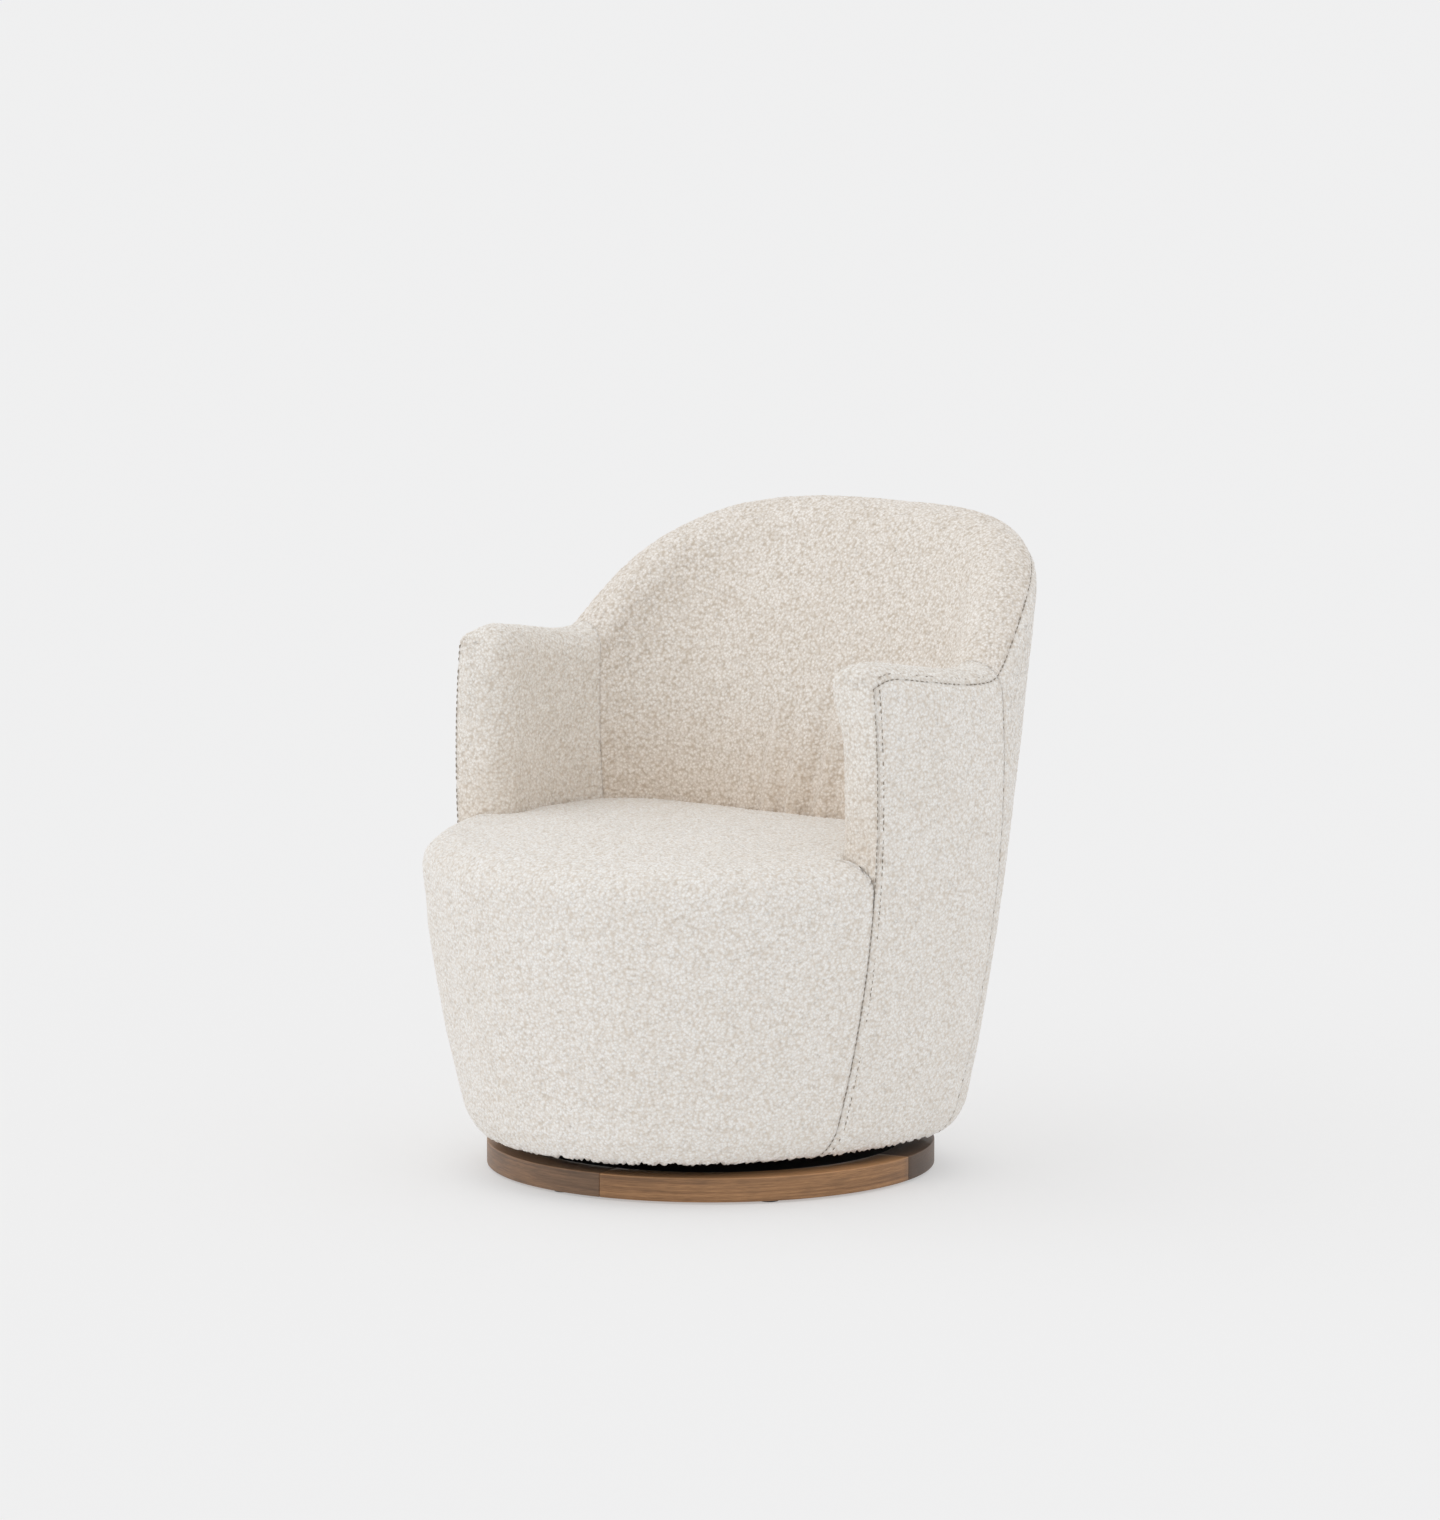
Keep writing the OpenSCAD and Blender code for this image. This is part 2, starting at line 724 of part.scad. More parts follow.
module back_band(i) {
    z0 = seat_h + 60 + i * band_pitch;
    off = inner_frame_off - 2 + post_depth + soft_gap;
    columns = steps(3, 5, back_cols / 2);
    color(black_colour)
        slab([for (s = columns) [for (z = [z0, z0 + band_w]) wall(s, z, off)]],
             [for (s = columns) [for (z = [z0, z0 + band_w]) wall(s, z, off + band_t)]]);
}

module back_band_1() { back_band(0); }
module back_band_2() { back_band(1); }
module back_band_3() { back_band(2); }

// ---------- Foam ----------

// The seat's rim as [station, kind]: kind 0 is the body's outline in front of the arms, kind 1 a
// narrow return under the arms' fronts, and kind 2 runs between the arms and the back
seat_stations = concat(
    [for (s = steps(-1, 1, front_cols)) [s, 0]],
    [[1, 1]],
    [for (s = steps(1, seam_s, arm_cols)) [s, 2]],
    [for (i = [1:back_cols - 1]) [mix(seam_s, 8 - seam_s, i / back_cols), 2]],
    [for (s = steps(8 - seam_s, 7, arm_cols)) [s, 2]],
    [[7, 1]]
);

// A point of the seat d under its surface: stations at the arms' fronts stay ahead of the arms
function seat_pt(st, z, off, d) =
    let(p = wall(st[0], z, off), at_arm = fold(st[0]) == 1)
    [p[0], p[1] - (at_arm ? soft_gap + d : 0), p[2]];
function seat_off(st, z) =
    st[1] == 0 ? 0 : st[1] == 1 ? soft_gap : wall_depth(st[0], max(z, seat_h)) + soft_gap;
function edge_w(st) = st[1] == 2 ? 14 : seat_edge_w;
function edge_h(st) = st[1] == 2 ? 14 : seat_edge_h;
function seat_side(st, z, d) = seat_pt(st, z, seat_off(st, z) + d, d);
function seat_edge(st, f, d) =
    let(z = seat_h - edge_h(st) + (edge_h(st) - d) * sin(f))
    seat_pt(st, z, seat_off(st, z) + edge_w(st) - (edge_w(st) - d) * cos(f), d);
function seat_top(st, g, d) =
    let(e = seat_edge(st, 90, d))
    [e[0] * g, mix(seat_centre_y, e[1], g), e[2] + seat_crown * (1 - g * g)];

function low_z(st, low_front, low_back) =
    st[1] == 0 ? low_front : st[1] == 1 ? max(low_front, return_z) : low_back;
// Rings of points from low on the side to the last ring on the top, d under the surface
function seat_ring_list(d, low_front, low_back, side_rows) = concat(
    [for (i = [0:side_rows]) [for (st = seat_stations)
        seat_side(st, mix(low_z(st, low_front, low_back), seat_h - edge_h(st), pow(i / side_rows, 1.5)), d)]],
    [for (i = [1:edge_rows]) [for (st = seat_stations) seat_edge(st, 90 * i / edge_rows, d)]],
    [for (i = [1:seat_rings]) [for (st = seat_stations) seat_top(st, 1 - i / (seat_rings + 1), d)]]
);
function seat_middle(d) = [0, seat_centre_y, seat_h - d + seat_crown];

seat_foam_z = pad_z + felt_t + soft_gap;
foam_d = cover_t + soft_gap;

module seat_foam() {
    color(foam_colour)
        stack(seat_ring_list(foam_d + panel_t, seat_foam_z, seat_foam_z, 2),
              seat_middle(foam_d + panel_t), [0, seat_centre_y, seat_foam_z]);
}

// Columns of the back's and of an arm's inner layers, the arm's ones from a step behind its front
seam_half = seam_step(seam_s, seam_gap / 2);
back_columns = steps(seam_s + seam_half, 8 - seam_s - seam_half, back_cols);
function arm_columns(behind) = steps(behind_arm_front(behind), seam_s - seam_half, arm_cols);

// Foam over the roll and down the inside
module wall_foam(columns) {
    color(foam_colour)
        slab([for (s = columns) inner_column(s, foam_d, roll_seam, tuck_z)],
             [for (s = columns) inner_column(s, pad_t, roll_seam, tuck_z)]);
}

module back_foam() { wall_foam(back_columns); }
module left_arm_foam() { wall_foam(arm_columns(foam_d)); }
module right_arm_foam() { mirror([1, 0, 0]) left_arm_foam(); }

// ---------- Fabric covers ----------

// Cover on the outside, from the hem up to the seam along the top edge
module outer_cover(columns) {
    color(fabric_colour)
        slab([for (s = columns) outer_column(s, 0)], [for (s = columns) outer_column(s, cover_t)]);
}

module left_side_cover() { outer_cover(arm_columns(cover_t + seam_gap)); }
module right_side_cover() { mirror([1, 0, 0]) left_side_cover(); }
module outer_back_cover() { outer_cover(back_columns); }

// Cover from the outer seam over the roll and down inside
module over_cover(columns) {
    slab([for (s = columns) inner_column(s, 0, roll_seam, tuck_z)],
         [for (s = columns) inner_column(s, cover_t, roll_seam, tuck_z)]);
}

module inside_back_cover() {
    color(inner_fabric_colour)
        over_cover(back_columns);
}

// Front face of an arm: its section at the arm's front, standing on the seat's edge
module arm_front() {
    over = inner_column(1, 0, roll_seam, seat_h + soft_gap);
    under = [for (f = steps(90, 0, edge_rows)) seat_edge([1, 0], f, -soft_gap)];
    foot = seat_h - seat_edge_h;
    down = [for (i = [1:inner_rows]) wall(1, mix(foot, top_h(1) - roll_r, i / inner_rows), 0)];
    translate([0, -arm_reach + cover_t, 0])
        rotate([90, 0, 0])
            linear_extrude(cover_t)
                polygon([for (p = concat(over, under, down)) [p[0], p[2]]]);
}

module arm_cover() {
    color(inner_fabric_colour) {
        over_cover(arm_columns(cover_t / 2));
        arm_front();
    }
}
module left_arm_cover() { arm_cover(); }
module right_arm_cover() { mirror([1, 0, 0]) arm_cover(); }

// Seat cover: the top, the front edge and the front down to the hem, open underneath
module seat_cover() {
    color(fabric_colour)
        cap(seat_ring_list(0, hem_z, tuck_z, side_rows), seat_middle(0),
            seat_ring_list(cover_t, hem_z, tuck_z, side_rows), seat_middle(cover_t));
}

ring_segment_1();
ring_segment_2();
ring_segment_3();
ring_segment_4();
plinth_core();
glides();
lower_swivel_plate();
lower_plate_screws();
pivot_pin();
pivot_washer();
pivot_nut();
ball_retainer();
bearing_balls();
upper_swivel_plate();
upper_plate_screws();
pivot_bush();
bottom_board();
dust_cover();
seat_deck();
front_panel();
top_rail();
rib_1();
rib_2();
rib_3();
rib_4();
rib_5();
rib_6();
rib_7();
rib_8();
left_arm_post();
right_arm_post();
left_side_post();
right_side_post();
left_back_post();
right_back_post();
centre_back_post();
seat_spring_1();
seat_spring_2();
seat_spring_3();
seat_spring_4();
seat_spring_5();
spring_clips();
spring_pad();
back_band_1();
back_band_2();
back_band_3();
seat_foam();
back_foam();
left_arm_foam();
right_arm_foam();
seat_cover();
inside_back_cover();
left_arm_cover();
right_arm_cover();
left_side_cover();
right_side_cover();
outer_back_cover();
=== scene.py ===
# %% [markdown]
# # A barrel armchair on a swivelling plinth
# This lesson dresses a packed chair. The frame already holds every hard part in its right place,
# so the work here is the part a person sees and touches: seven sewn panels of nubby loop cloth
# over foam, the thread along their seams, and a stained wooden ring on the floor.

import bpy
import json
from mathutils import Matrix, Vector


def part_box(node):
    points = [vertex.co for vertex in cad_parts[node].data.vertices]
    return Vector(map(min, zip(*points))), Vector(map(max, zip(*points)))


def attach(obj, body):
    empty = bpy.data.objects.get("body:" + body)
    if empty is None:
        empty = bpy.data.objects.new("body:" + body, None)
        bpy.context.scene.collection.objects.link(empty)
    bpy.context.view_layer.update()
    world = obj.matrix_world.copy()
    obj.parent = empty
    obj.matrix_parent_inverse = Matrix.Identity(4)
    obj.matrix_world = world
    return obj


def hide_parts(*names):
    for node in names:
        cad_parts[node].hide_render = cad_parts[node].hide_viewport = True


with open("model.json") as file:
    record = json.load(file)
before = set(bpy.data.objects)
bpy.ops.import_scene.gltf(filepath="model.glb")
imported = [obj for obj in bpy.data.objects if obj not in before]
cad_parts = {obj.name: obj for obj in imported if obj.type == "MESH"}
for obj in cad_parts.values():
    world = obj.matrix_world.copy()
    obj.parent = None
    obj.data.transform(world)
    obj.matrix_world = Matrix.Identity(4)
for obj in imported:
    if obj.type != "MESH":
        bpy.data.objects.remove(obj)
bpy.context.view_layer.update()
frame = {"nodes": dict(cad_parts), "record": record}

import json
import math

import bpy
import bmesh
import numpy as np
from mathutils import Vector

# %% [markdown]
# ## The body's outline
# An upholsterer draws a barrel chair as a plan that changes with height. At each height the plan is
# a rounded oval, fuller at the front, squarer at the top of the back. The wall has a station number
# that goes round it: 0 is the middle of the front, 1 the front of an arm, 2 the widest line and 4 the
# middle of the back. These are the same few sizes that the frame was built from, in metres.

# %% Sizes of the body
HEM_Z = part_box("seat_cover")[0].z
BACK_H = 0.806
ARM_H, ARM_FALL = 0.667, 0.032
SEAT_H, SEAT_CROWN = 0.424, 0.010
BELLY_HALF, BELLY_Z, HEM_HALF = 0.365, 0.493, 0.293
SEAT_REACH, HEM_FRONT = 0.368, 0.320
HEM_BACK, WAIST_BACK, TOP_BACK = 0.268, 0.258, 0.383
WIDEST_Y, ARM_FRONT_Y = 0.066, -0.093
ARM_LENGTH = WIDEST_Y - ARM_FRONT_Y
FRONT_ROUND, HEM_ROUND, TOP_ROUND = 2.1, 2.25, 3.4
TUCK_H, TUCK_IN = 0.042, 0.022
WALL, LUMBAR, SHOULDER, SWEEP = 0.075, 0.022, 3.5, 0.04
ROLL = WALL / 2
SEAM_ANGLE = math.radians(33)
BACK_SEAM = 2 + (100.5 - 90) / 45
CORNER_RUN, CORNER_ANGLE = 0.050, math.radians(6)
TUCK_Z = SEAT_H - 0.040
SEAT_CENTRE_Y = -0.150
FINE = 0.0021
print("hem at", round(HEM_Z, 4), "grid step", FINE)


# %% The plan at a height
def mix(a, b, u):
    return a + (b - a) * u


def half_width(z):
    return BELLY_HALF - (BELLY_HALF - HEM_HALF) * ((z - BELLY_Z) / (BELLY_Z - HEM_Z)) ** 2


def front_reach(z):
    return mix(HEM_FRONT, SEAT_REACH, np.sin(math.pi / 2 * np.clip((z - HEM_Z) / (SEAT_H - HEM_Z), 0, 1)))


def back_reach(z):
    v = (z - HEM_Z) / (BACK_H - HEM_Z)
    m = (SEAT_H - HEM_Z) / (BACK_H - HEM_Z)
    return (HEM_BACK * (v - m) * (v - 1) / m + WAIST_BACK * v * (v - 1) / (m * (m - 1))
            + TOP_BACK * v * (v - m) / (1 - m))


def tuck(z):
    return TUCK_IN * (1 - np.sqrt(1 - np.clip(1 - (z - HEM_Z) / TUCK_H, 0, 1) ** 2))


def plan_radius(a, z, off):
    front = np.cos(a) > 0
    across = half_width(z) - off - tuck(z)
    along = np.where(front, front_reach(z) + WIDEST_Y, back_reach(z) - WIDEST_Y) - off - tuck(z)
    n = np.where(front, FRONT_ROUND, mix(HEM_ROUND, TOP_ROUND, (z - HEM_Z) / (BACK_H - HEM_Z)))
    return (np.abs(np.sin(a) / across) ** n + np.abs(np.cos(a) / along) ** n) ** (-1 / n)


def side_x(y, z, off):
    along = front_reach(z) + WIDEST_Y - off - tuck(z)
    u = np.clip((WIDEST_Y - y) / along, 0, 1)
    return (half_width(z) - off - tuck(z)) * (1 - u ** FRONT_ROUND) ** (1 / FRONT_ROUND)


def wall(s, z, off):
    """Points at stations s, heights z and distances off inside the outer face."""
    s, z, off = np.broadcast_arrays(np.asarray(s, float), np.asarray(z, float), np.asarray(off, float))
    k = np.where(s > 4, 8 - s, np.abs(s))
    side = np.where((s > 4) | (s < 0), -1.0, 1.0)
    arm_y = mix(ARM_FRONT_Y, WIDEST_Y, k - 1)
    corner = np.arctan2(side_x(ARM_FRONT_Y, z, off), ARM_LENGTH)
    a = np.where(k <= 1, k * corner, math.pi / 2 + math.pi / 4 * (k - 2))
    r = plan_radius(a, z, off)
    on_arm = (k > 1) & (k <= 2)
    x = np.where(on_arm, side_x(arm_y, z, off), r * np.sin(a))
    y = np.where(on_arm, arm_y, WIDEST_Y - r * np.cos(a))
    return np.stack([side * x, y, z], -1)


def top_height(s):
    k = s if s <= 4 else 8 - s
    v = (k - BACK_SEAM) / (4 - BACK_SEAM)
    rise = min(1, (math.hypot(v, SWEEP) + v) / 2)
    arm = ARM_H - ARM_FALL * min(1, max(0, (k - 1) / (BACK_SEAM - 1)))
    return arm + (BACK_H - ARM_H + ARM_FALL) * (1 - (1 - rise) ** SHOULDER)


def seam_angle(s):
    """Where the top seam lies round the roll. Near an arm's front it curves down to meet the front seam."""
    k = s if s <= 4 else 8 - s
    corner = min(1, max(0, 1 - (k - 1) * ARM_LENGTH / CORNER_RUN))
    return mix(CORNER_ANGLE, SEAM_ANGLE, 1 - corner ** 2)


def wall_depth(s, z):
    k = s if s <= 4 else 8 - s
    u = np.clip((z - SEAT_H) / (top_height(s) - ROLL - SEAT_H), 0, 1)
    swell = math.sin(math.pi / 2 * min(1, max(0, (k - BACK_SEAM) / (4 - BACK_SEAM))))
    return WALL + LUMBAR * swell * (1 - u ** 2)


print("widest", round(float(wall(2, BELLY_Z, 0)[0]), 4), "top of back", round(top_height(4), 4))

# %% [markdown]
# ## Sections through the wall
# Cut the wall at one station and it is a long hairpin: up the outside, round a half-circle roll and
# down the inside. The outside panel covers the first leg up to the seam, a little below the top, and
# the inside panel covers the rest. Each section is measured along its length, so that points can be
# spread evenly on it and the loops of the cloth are the same size all over.


# %% Sections and even spacing
ROLL_EASE, LOW_EASE = 1.2, 0.07


def even(line, n):
    """n points spread evenly along a line of points."""
    step = np.linalg.norm(np.diff(line, axis=0), axis=1)
    along = np.concatenate([[0], np.cumsum(step)])
    at = np.linspace(0, along[-1], n)
    return np.stack([np.interp(at, along, line[:, i]) for i in range(3)], -1)


def length_of(line):
    return float(np.linalg.norm(np.diff(line, axis=0), axis=1).sum())


def outer_section(s):
    shoulder = top_height(s) - ROLL
    z = np.linspace(HEM_Z, shoulder, 160)
    f = np.linspace(0, seam_angle(s), 16)[1:]
    return np.concatenate([wall(s, z, 0), wall(s, shoulder + ROLL * np.sin(f), ROLL - ROLL * np.cos(f))])


def inner_section(s, inset=0.0, roll_inset=0.0):
    """From the seam, over the roll, down inside. The insets draw it in, easing from nothing at the seam."""
    shoulder = top_height(s) - ROLL
    f = np.linspace(seam_angle(s), math.pi, 48)
    z = np.linspace(shoulder, TUCK_Z, 90)[1:]
    start = np.clip((f - CORNER_ANGLE) / ROLL_EASE, 0, 1)
    roll = ROLL - roll_inset * start * start * (3 - 2 * start)
    low = np.clip((shoulder - z) / LOW_EASE, 0, 1)
    depth = wall_depth(s, z) - mix(roll_inset, inset, low * low * (3 - 2 * low))
    over = wall(s, shoulder + roll * np.sin(f), ROLL - roll * np.cos(f))
    return np.concatenate([over, wall(s, z, depth)])


def count(length):
    return max(4, int(round(length / FINE)) + 1)


print("outside", round(length_of(outer_section(4)), 3), "inside", round(length_of(inner_section(4)), 3))

# %% [markdown]
# ## Loop cloth
# The cloth is a boucle: yarn that curls into loops about five millimetres across, some standing up
# bright, some lying back in a beige gap. From close up that is real relief, so each panel's fine
# mesh is lifted loop by loop. The pattern is a field of round knobs fixed in the chair's own space,
# worked out from whole numbers, so it is the same every time and runs on across the seams.


# %% Repeatable patterns
def scatter(cell, seed):
    """A repeatable number from 0 to 1 for each whole-numbered cell."""
    c = (cell.astype(np.int64) & 0xFFFFFFFF).astype(np.uint64)
    n = c[..., 0] * np.uint64(73856093) ^ c[..., 1] * np.uint64(19349663)
    n = n ^ c[..., 2] * np.uint64(83492791)
    n = (n ^ np.uint64(seed * 7919 + 17)) & np.uint64(0xFFFFFFFF)
    for shift, factor in ((16, 2246822519), (13, 3266489917), (16, 668265263)):
        n = ((n ^ (n >> np.uint64(shift))) * np.uint64(factor)) & np.uint64(0xFFFFFFFF)
    return n.astype(float) / 4294967295.0


def drift(points, size, seed):
    """Smooth waves from -1 to 1, about size apart."""
    p = points / size
    low = np.floor(p)
    u = p - low
    u = u * u * (3 - 2 * u)
    total = 0
    for corner in np.ndindex(2, 2, 2):
        c = np.array(corner)
        weight = np.prod(np.where(c, u, 1 - u), axis=-1)
        total = total + weight * scatter(low + c, seed)
    return total * 2 - 1


def knobs(points, size, seed):
    """Height from 0 to 1 of round knobs about size apart."""
    warp = np.stack([drift(points, size * 1.7, seed + i) for i in (1, 2, 3)], -1)
    p = points / size + warp * 0.35
    low = np.floor(p)
    best = np.zeros(len(points))
    for corner in np.ndindex(3, 3, 3):
        cell = low + np.array(corner) - 1
        centre = cell + np.stack([scatter(cell, seed + i) for i in (4, 5, 6)], -1)
        radius = 0.52 + 0.34 * scatter(cell, seed + 7)
        near = np.linalg.norm(p - centre, axis=-1) / radius
        best = np.maximum(best, np.sqrt(np.clip(1 - near * near, 0, 1)))
    return best


print("pattern check", round(float(knobs(np.array([[0.1, 0.2, 0.3]]), 0.005, 1)[0]), 4))

# %% [markdown]
# ## From a sheet of points to a sewn panel
# Every panel ends as one closed solid. Its face is the fine sheet; its lining is the same sheet with
# far fewer points, a few millimetres under it; a rim joins the two all round. Near a seam the face
# dips, because thread pulls the cloth down to the frame, and that dip is what makes a seam readable.


# %% Panel builder
NUB_SIZE, NUB_HEIGHT = 0.0048, 0.0017
CURL_SIZE, CURL_HEIGHT = 0.0030, 0.0006
SEAM_REACH, SEAM_DIP = 0.0036, 0.0015
HEM_NUB, HEM_REACH = 0.0026, 0.003
THIN = 8  # the lining keeps one point in this many
print("loops", NUB_SIZE, "apart and", NUB_HEIGHT, "high, curls", CURL_SIZE, "apart")


def sheet_faces(ids):
    a, b, c, d = ids[:-1, :-1], ids[1:, :-1], ids[1:, 1:], ids[:-1, 1:]
    return np.stack([a, b, c, d], -1).reshape(-1, 4)


def thinned(n, step):
    return np.unique(np.concatenate([np.arange(0, n, step), [n - 1]]))


def point_normals(points, quads):
    v = points[quads]
    n = np.cross(v[:, 2] - v[:, 0], v[:, 3] - v[:, 1])
    total = np.zeros_like(points)
    for i in range(4):
        for axis in range(3):
            total[:, axis] += np.bincount(quads[:, i], n[:, axis], len(points))
    return total / np.maximum(np.linalg.norm(total, axis=1), 1e-12)[:, None]


def rim_faces(quads, lining_of):
    """Triangles from the sheet's edge to the lining's edge."""
    a, b = quads, np.roll(quads, -1, axis=1)
    half = {(int(p), int(q)) for p, q in zip(a.ravel(), b.ravel()) if p != q}
    follow = {p: q for p, q in half if (q, p) not in half}
    start = next(p for p in follow if p in lining_of)
    loop, p = [start], follow[start]
    while p != start:
        loop.append(p)
        p = follow[p]
    loop.append(start)
    stops = [i for i, p in enumerate(loop) if p in lining_of]
    rim = []
    for i, j in zip(stops, stops[1:]):
        near, far, half_way = lining_of[loop[i]], lining_of[loop[j]], (i + j) // 2
        rim += [(loop[k + 1], loop[k], near) for k in range(i, half_way)]
        rim.append((far, loop[half_way], near))
        rim += [(loop[k + 1], loop[k], far) for k in range(half_way, j)]
    return rim, len(follow) == len(loop) - 1


def panel(name, points, quads, coarse, seam_gap, lift, hem_gap=None, lining=0.004):
    """Closed padded panel. coarse is the lining's quads, seam_gap each point's distance to a seam."""
    used = np.unique(coarse)
    base = points.copy()
    out = point_normals(points, quads)
    nub = knobs(base, NUB_SIZE, 11)
    small = knobs(base, CURL_SIZE, 23)
    pull = np.exp(-(seam_gap / SEAM_REACH) ** 2)
    height = lift + 0.0008 * drift(base, 0.034, 5) + 0.0012 * drift(base, 0.085, 6)
    height = height * (1 - pull) - SEAM_DIP * pull
    height = height + (NUB_HEIGHT * (nub - 0.6) + CURL_HEIGHT * (small - 0.6)) * (1 - 0.5 * pull)
    points = base + out * height[:, None]
    if hem_gap is not None:
        points[:, 2] -= HEM_NUB * nub * np.exp(-(hem_gap / HEM_REACH) ** 2)
    lining_of = {int(v): len(points) + i for i, v in enumerate(used)}
    rim, closed = rim_faces(quads, lining_of)
    inner = base[used] - out[used] * lining
    remap = np.zeros(len(points), int)
    remap[used] = len(points) + np.arange(len(used))
    faces = quads.tolist() + remap[coarse][:, ::-1].tolist() + rim
    mesh = bpy.data.meshes.new(name)
    mesh.from_pydata(np.concatenate([points, inner]).tolist(), [], [list(dict.fromkeys(f)) for f in faces])
    mesh.polygons.foreach_set("use_smooth", np.ones(len(mesh.polygons), bool))
    # The loft and seam notes drive the cloth's painted light and shade: lighter on standing loops, darker
    # in the gaps and in the seam dips.
    for note, value in (("loft", 0.7 * nub + 0.3 * small), ("seam", pull)):
        layer = mesh.attributes.new(note, "FLOAT", "POINT")
        layer.data.foreach_set("value", np.concatenate([value, np.zeros(len(used))]).astype(np.float32))
    mesh.update()
    piece = bpy.data.objects.new(name, mesh)
    bpy.context.scene.collection.objects.link(piece)
    solid = bmesh.new()
    solid.from_mesh(mesh)
    litres = solid.calc_volume(signed=True) * 1000
    solid.free()
    print(name, "faces", len(mesh.polygons), "rim closed", closed, "litres", round(litres, 2))
    return piece


def grid_panel(name, grid, seam_gap, lift=0.0, hem_gap=None, lining=0.004):
    """Panel from a sheet of points, columns first, facing out when rows go up and columns go left."""
    n, m = grid.shape[:2]
    ids = np.arange(n * m).reshape(n, m)
    coarse = ids[np.ix_(thinned(n, THIN), thinned(m, THIN))]

    def flat(a):
        return None if a is None else np.broadcast_to(a, (n, m)).ravel()

    return panel(name, grid.reshape(-1, 3), sheet_faces(ids), sheet_faces(coarse),
                 flat(seam_gap), flat(lift), flat(hem_gap), lining)


def gap_to(grid, *edges):
    """Each point's distance to the nearest named edge of its sheet: first, last column, low or high row."""
    ends = {"first": grid[:1], "last": grid[-1:], "low": grid[:, :1], "high": grid[:, -1:]}
    return np.min([np.linalg.norm(grid - ends[e], axis=-1) for e in edges], axis=0)


# %% [markdown]
# ## Outside panels
# Three plain panels wrap the outside: one round the back and one on each side, from the hem to the
# seam along the top edge. They are stretched tight, so they need only the cloth's relief and the
# dips along their seams. A hair's width is left open at each seam, where the thread shows dark.

# %% Outside of the back and sides
SEAM_HALF, FRONT_TRIM = 0.0002, 0.0004


def station_step(s, gap):
    """How many stations a small distance is worth at station s."""
    a, b = wall(s + 0.05, SEAT_H, 0), wall(s - 0.05, SEAT_H, 0)
    return gap / float(np.linalg.norm(a - b)) * 0.1


def outer_panel(name, s0, s1):
    columns = count(length_of(wall(np.linspace(s0, s1, 60), BELLY_Z, 0)))
    rows = count(length_of(outer_section((s0 + s1) / 2)))
    grid = np.stack([even(outer_section(s), rows) for s in np.linspace(s0, s1, columns)])
    return grid_panel(name, grid, gap_to(grid, "first", "last", "high"), hem_gap=gap_to(grid, "low"))


def mirrored(grid):
    """The same sheet on the other side, with its columns turned round so that it still faces out."""
    return grid[::-1] * np.array([-1.0, 1.0, 1.0])


seam_room = station_step(BACK_SEAM, SEAM_HALF)
back_out = outer_panel("back_outside", BACK_SEAM + seam_room, 8 - BACK_SEAM - seam_room)
side_from, side_to = 1 + FRONT_TRIM / ARM_LENGTH, BACK_SEAM - seam_room
side_left_out = outer_panel("side_outside_left", side_from, side_to)
side_right_out = outer_panel("side_outside_right", 8 - side_to, 8 - side_from)

# %% [markdown]
# ## Inside of the back
# The inside panel starts at the seam behind the top edge, goes over the roll and down behind the
# seat. The back is fuller low down, for the waist, and the cloth there is a little loose: it lies in
# a few shallow upright creases just above the seat. Each crease is a soft trough with a slight lean.

# %% Inside of the back
CREASES = [  # x at the seat, x at its top, top height, depth, half width
    (-0.024, -0.030, 0.580, 0.0085, 0.0105),
    (0.018, 0.034, 0.592, 0.0090, 0.0110),
    (-0.067, -0.074, 0.545, 0.0042, 0.0100),
    (0.064, 0.072, 0.550, 0.0032, 0.0095),
]


def creased(points):
    x, z = points[..., 0], points[..., 2]
    lift = np.zeros(x.shape)
    for low_x, high_x, high_z, depth, half in CREASES:
        u = np.clip((z - SEAT_H) / (high_z - SEAT_H), 0, 1.6)
        fade = np.clip((1.15 - u) / 0.75, 0, 1)
        away = (x - mix(low_x, high_x, u)) / half
        trough = np.exp(-away ** 2)
        banks = 0.45 * np.exp(-((np.abs(away) - 2.0) / 0.9) ** 2)
        lift -= depth * fade * fade * (3 - 2 * fade) * (trough - banks)
    return lift


def soft_seam_gap(grid, hard, soft):
    """Distance to the nearest edge, where a soft seam pulls the cloth down only half as much."""
    return np.minimum(gap_to(grid, *hard), gap_to(grid, *soft) + 0.0030)


def inner_panel(name, s0, s1):
    columns = count(length_of(wall(np.linspace(s0, s1, 80), BELLY_Z, WALL)) * 1.15)
    rows = count(length_of(inner_section((s0 + s1) / 2)))
    grid = np.stack([even(inner_section(s), rows) for s in np.linspace(s0, s1, columns)])
    past_roll = np.arange(rows)[None, :] > rows * 0.25
    lift = creased(grid) * past_roll
    return grid_panel(name, grid, soft_seam_gap(grid, ["low"], ["first", "last"]), lift, lining=0.013)


back_in = inner_panel("back_inside", BACK_SEAM, 8 - BACK_SEAM)

# %% [markdown]
# ## Arms
# An arm's panel goes over its top and down inside like the back's, but at the front it also turns a
# soft corner and closes the arm with an upright face. The corner is a quarter round of about four
# centimetres down the inside and two along the top, while the outer edge stays crisp where the seam
# runs. So the section is drawn in as it comes to the front, and the face is ruled to the seam.

# %% Arms
ARM_SOFT, ARM_TOP_SOFT = 0.044, 0.024
ARM_DOME, DOME_REACH = 0.0035, 0.012
ARM_RUN, FACE_RUN = 0.19, 0.036
CORNER_S = 1 + ARM_SOFT / ARM_LENGTH


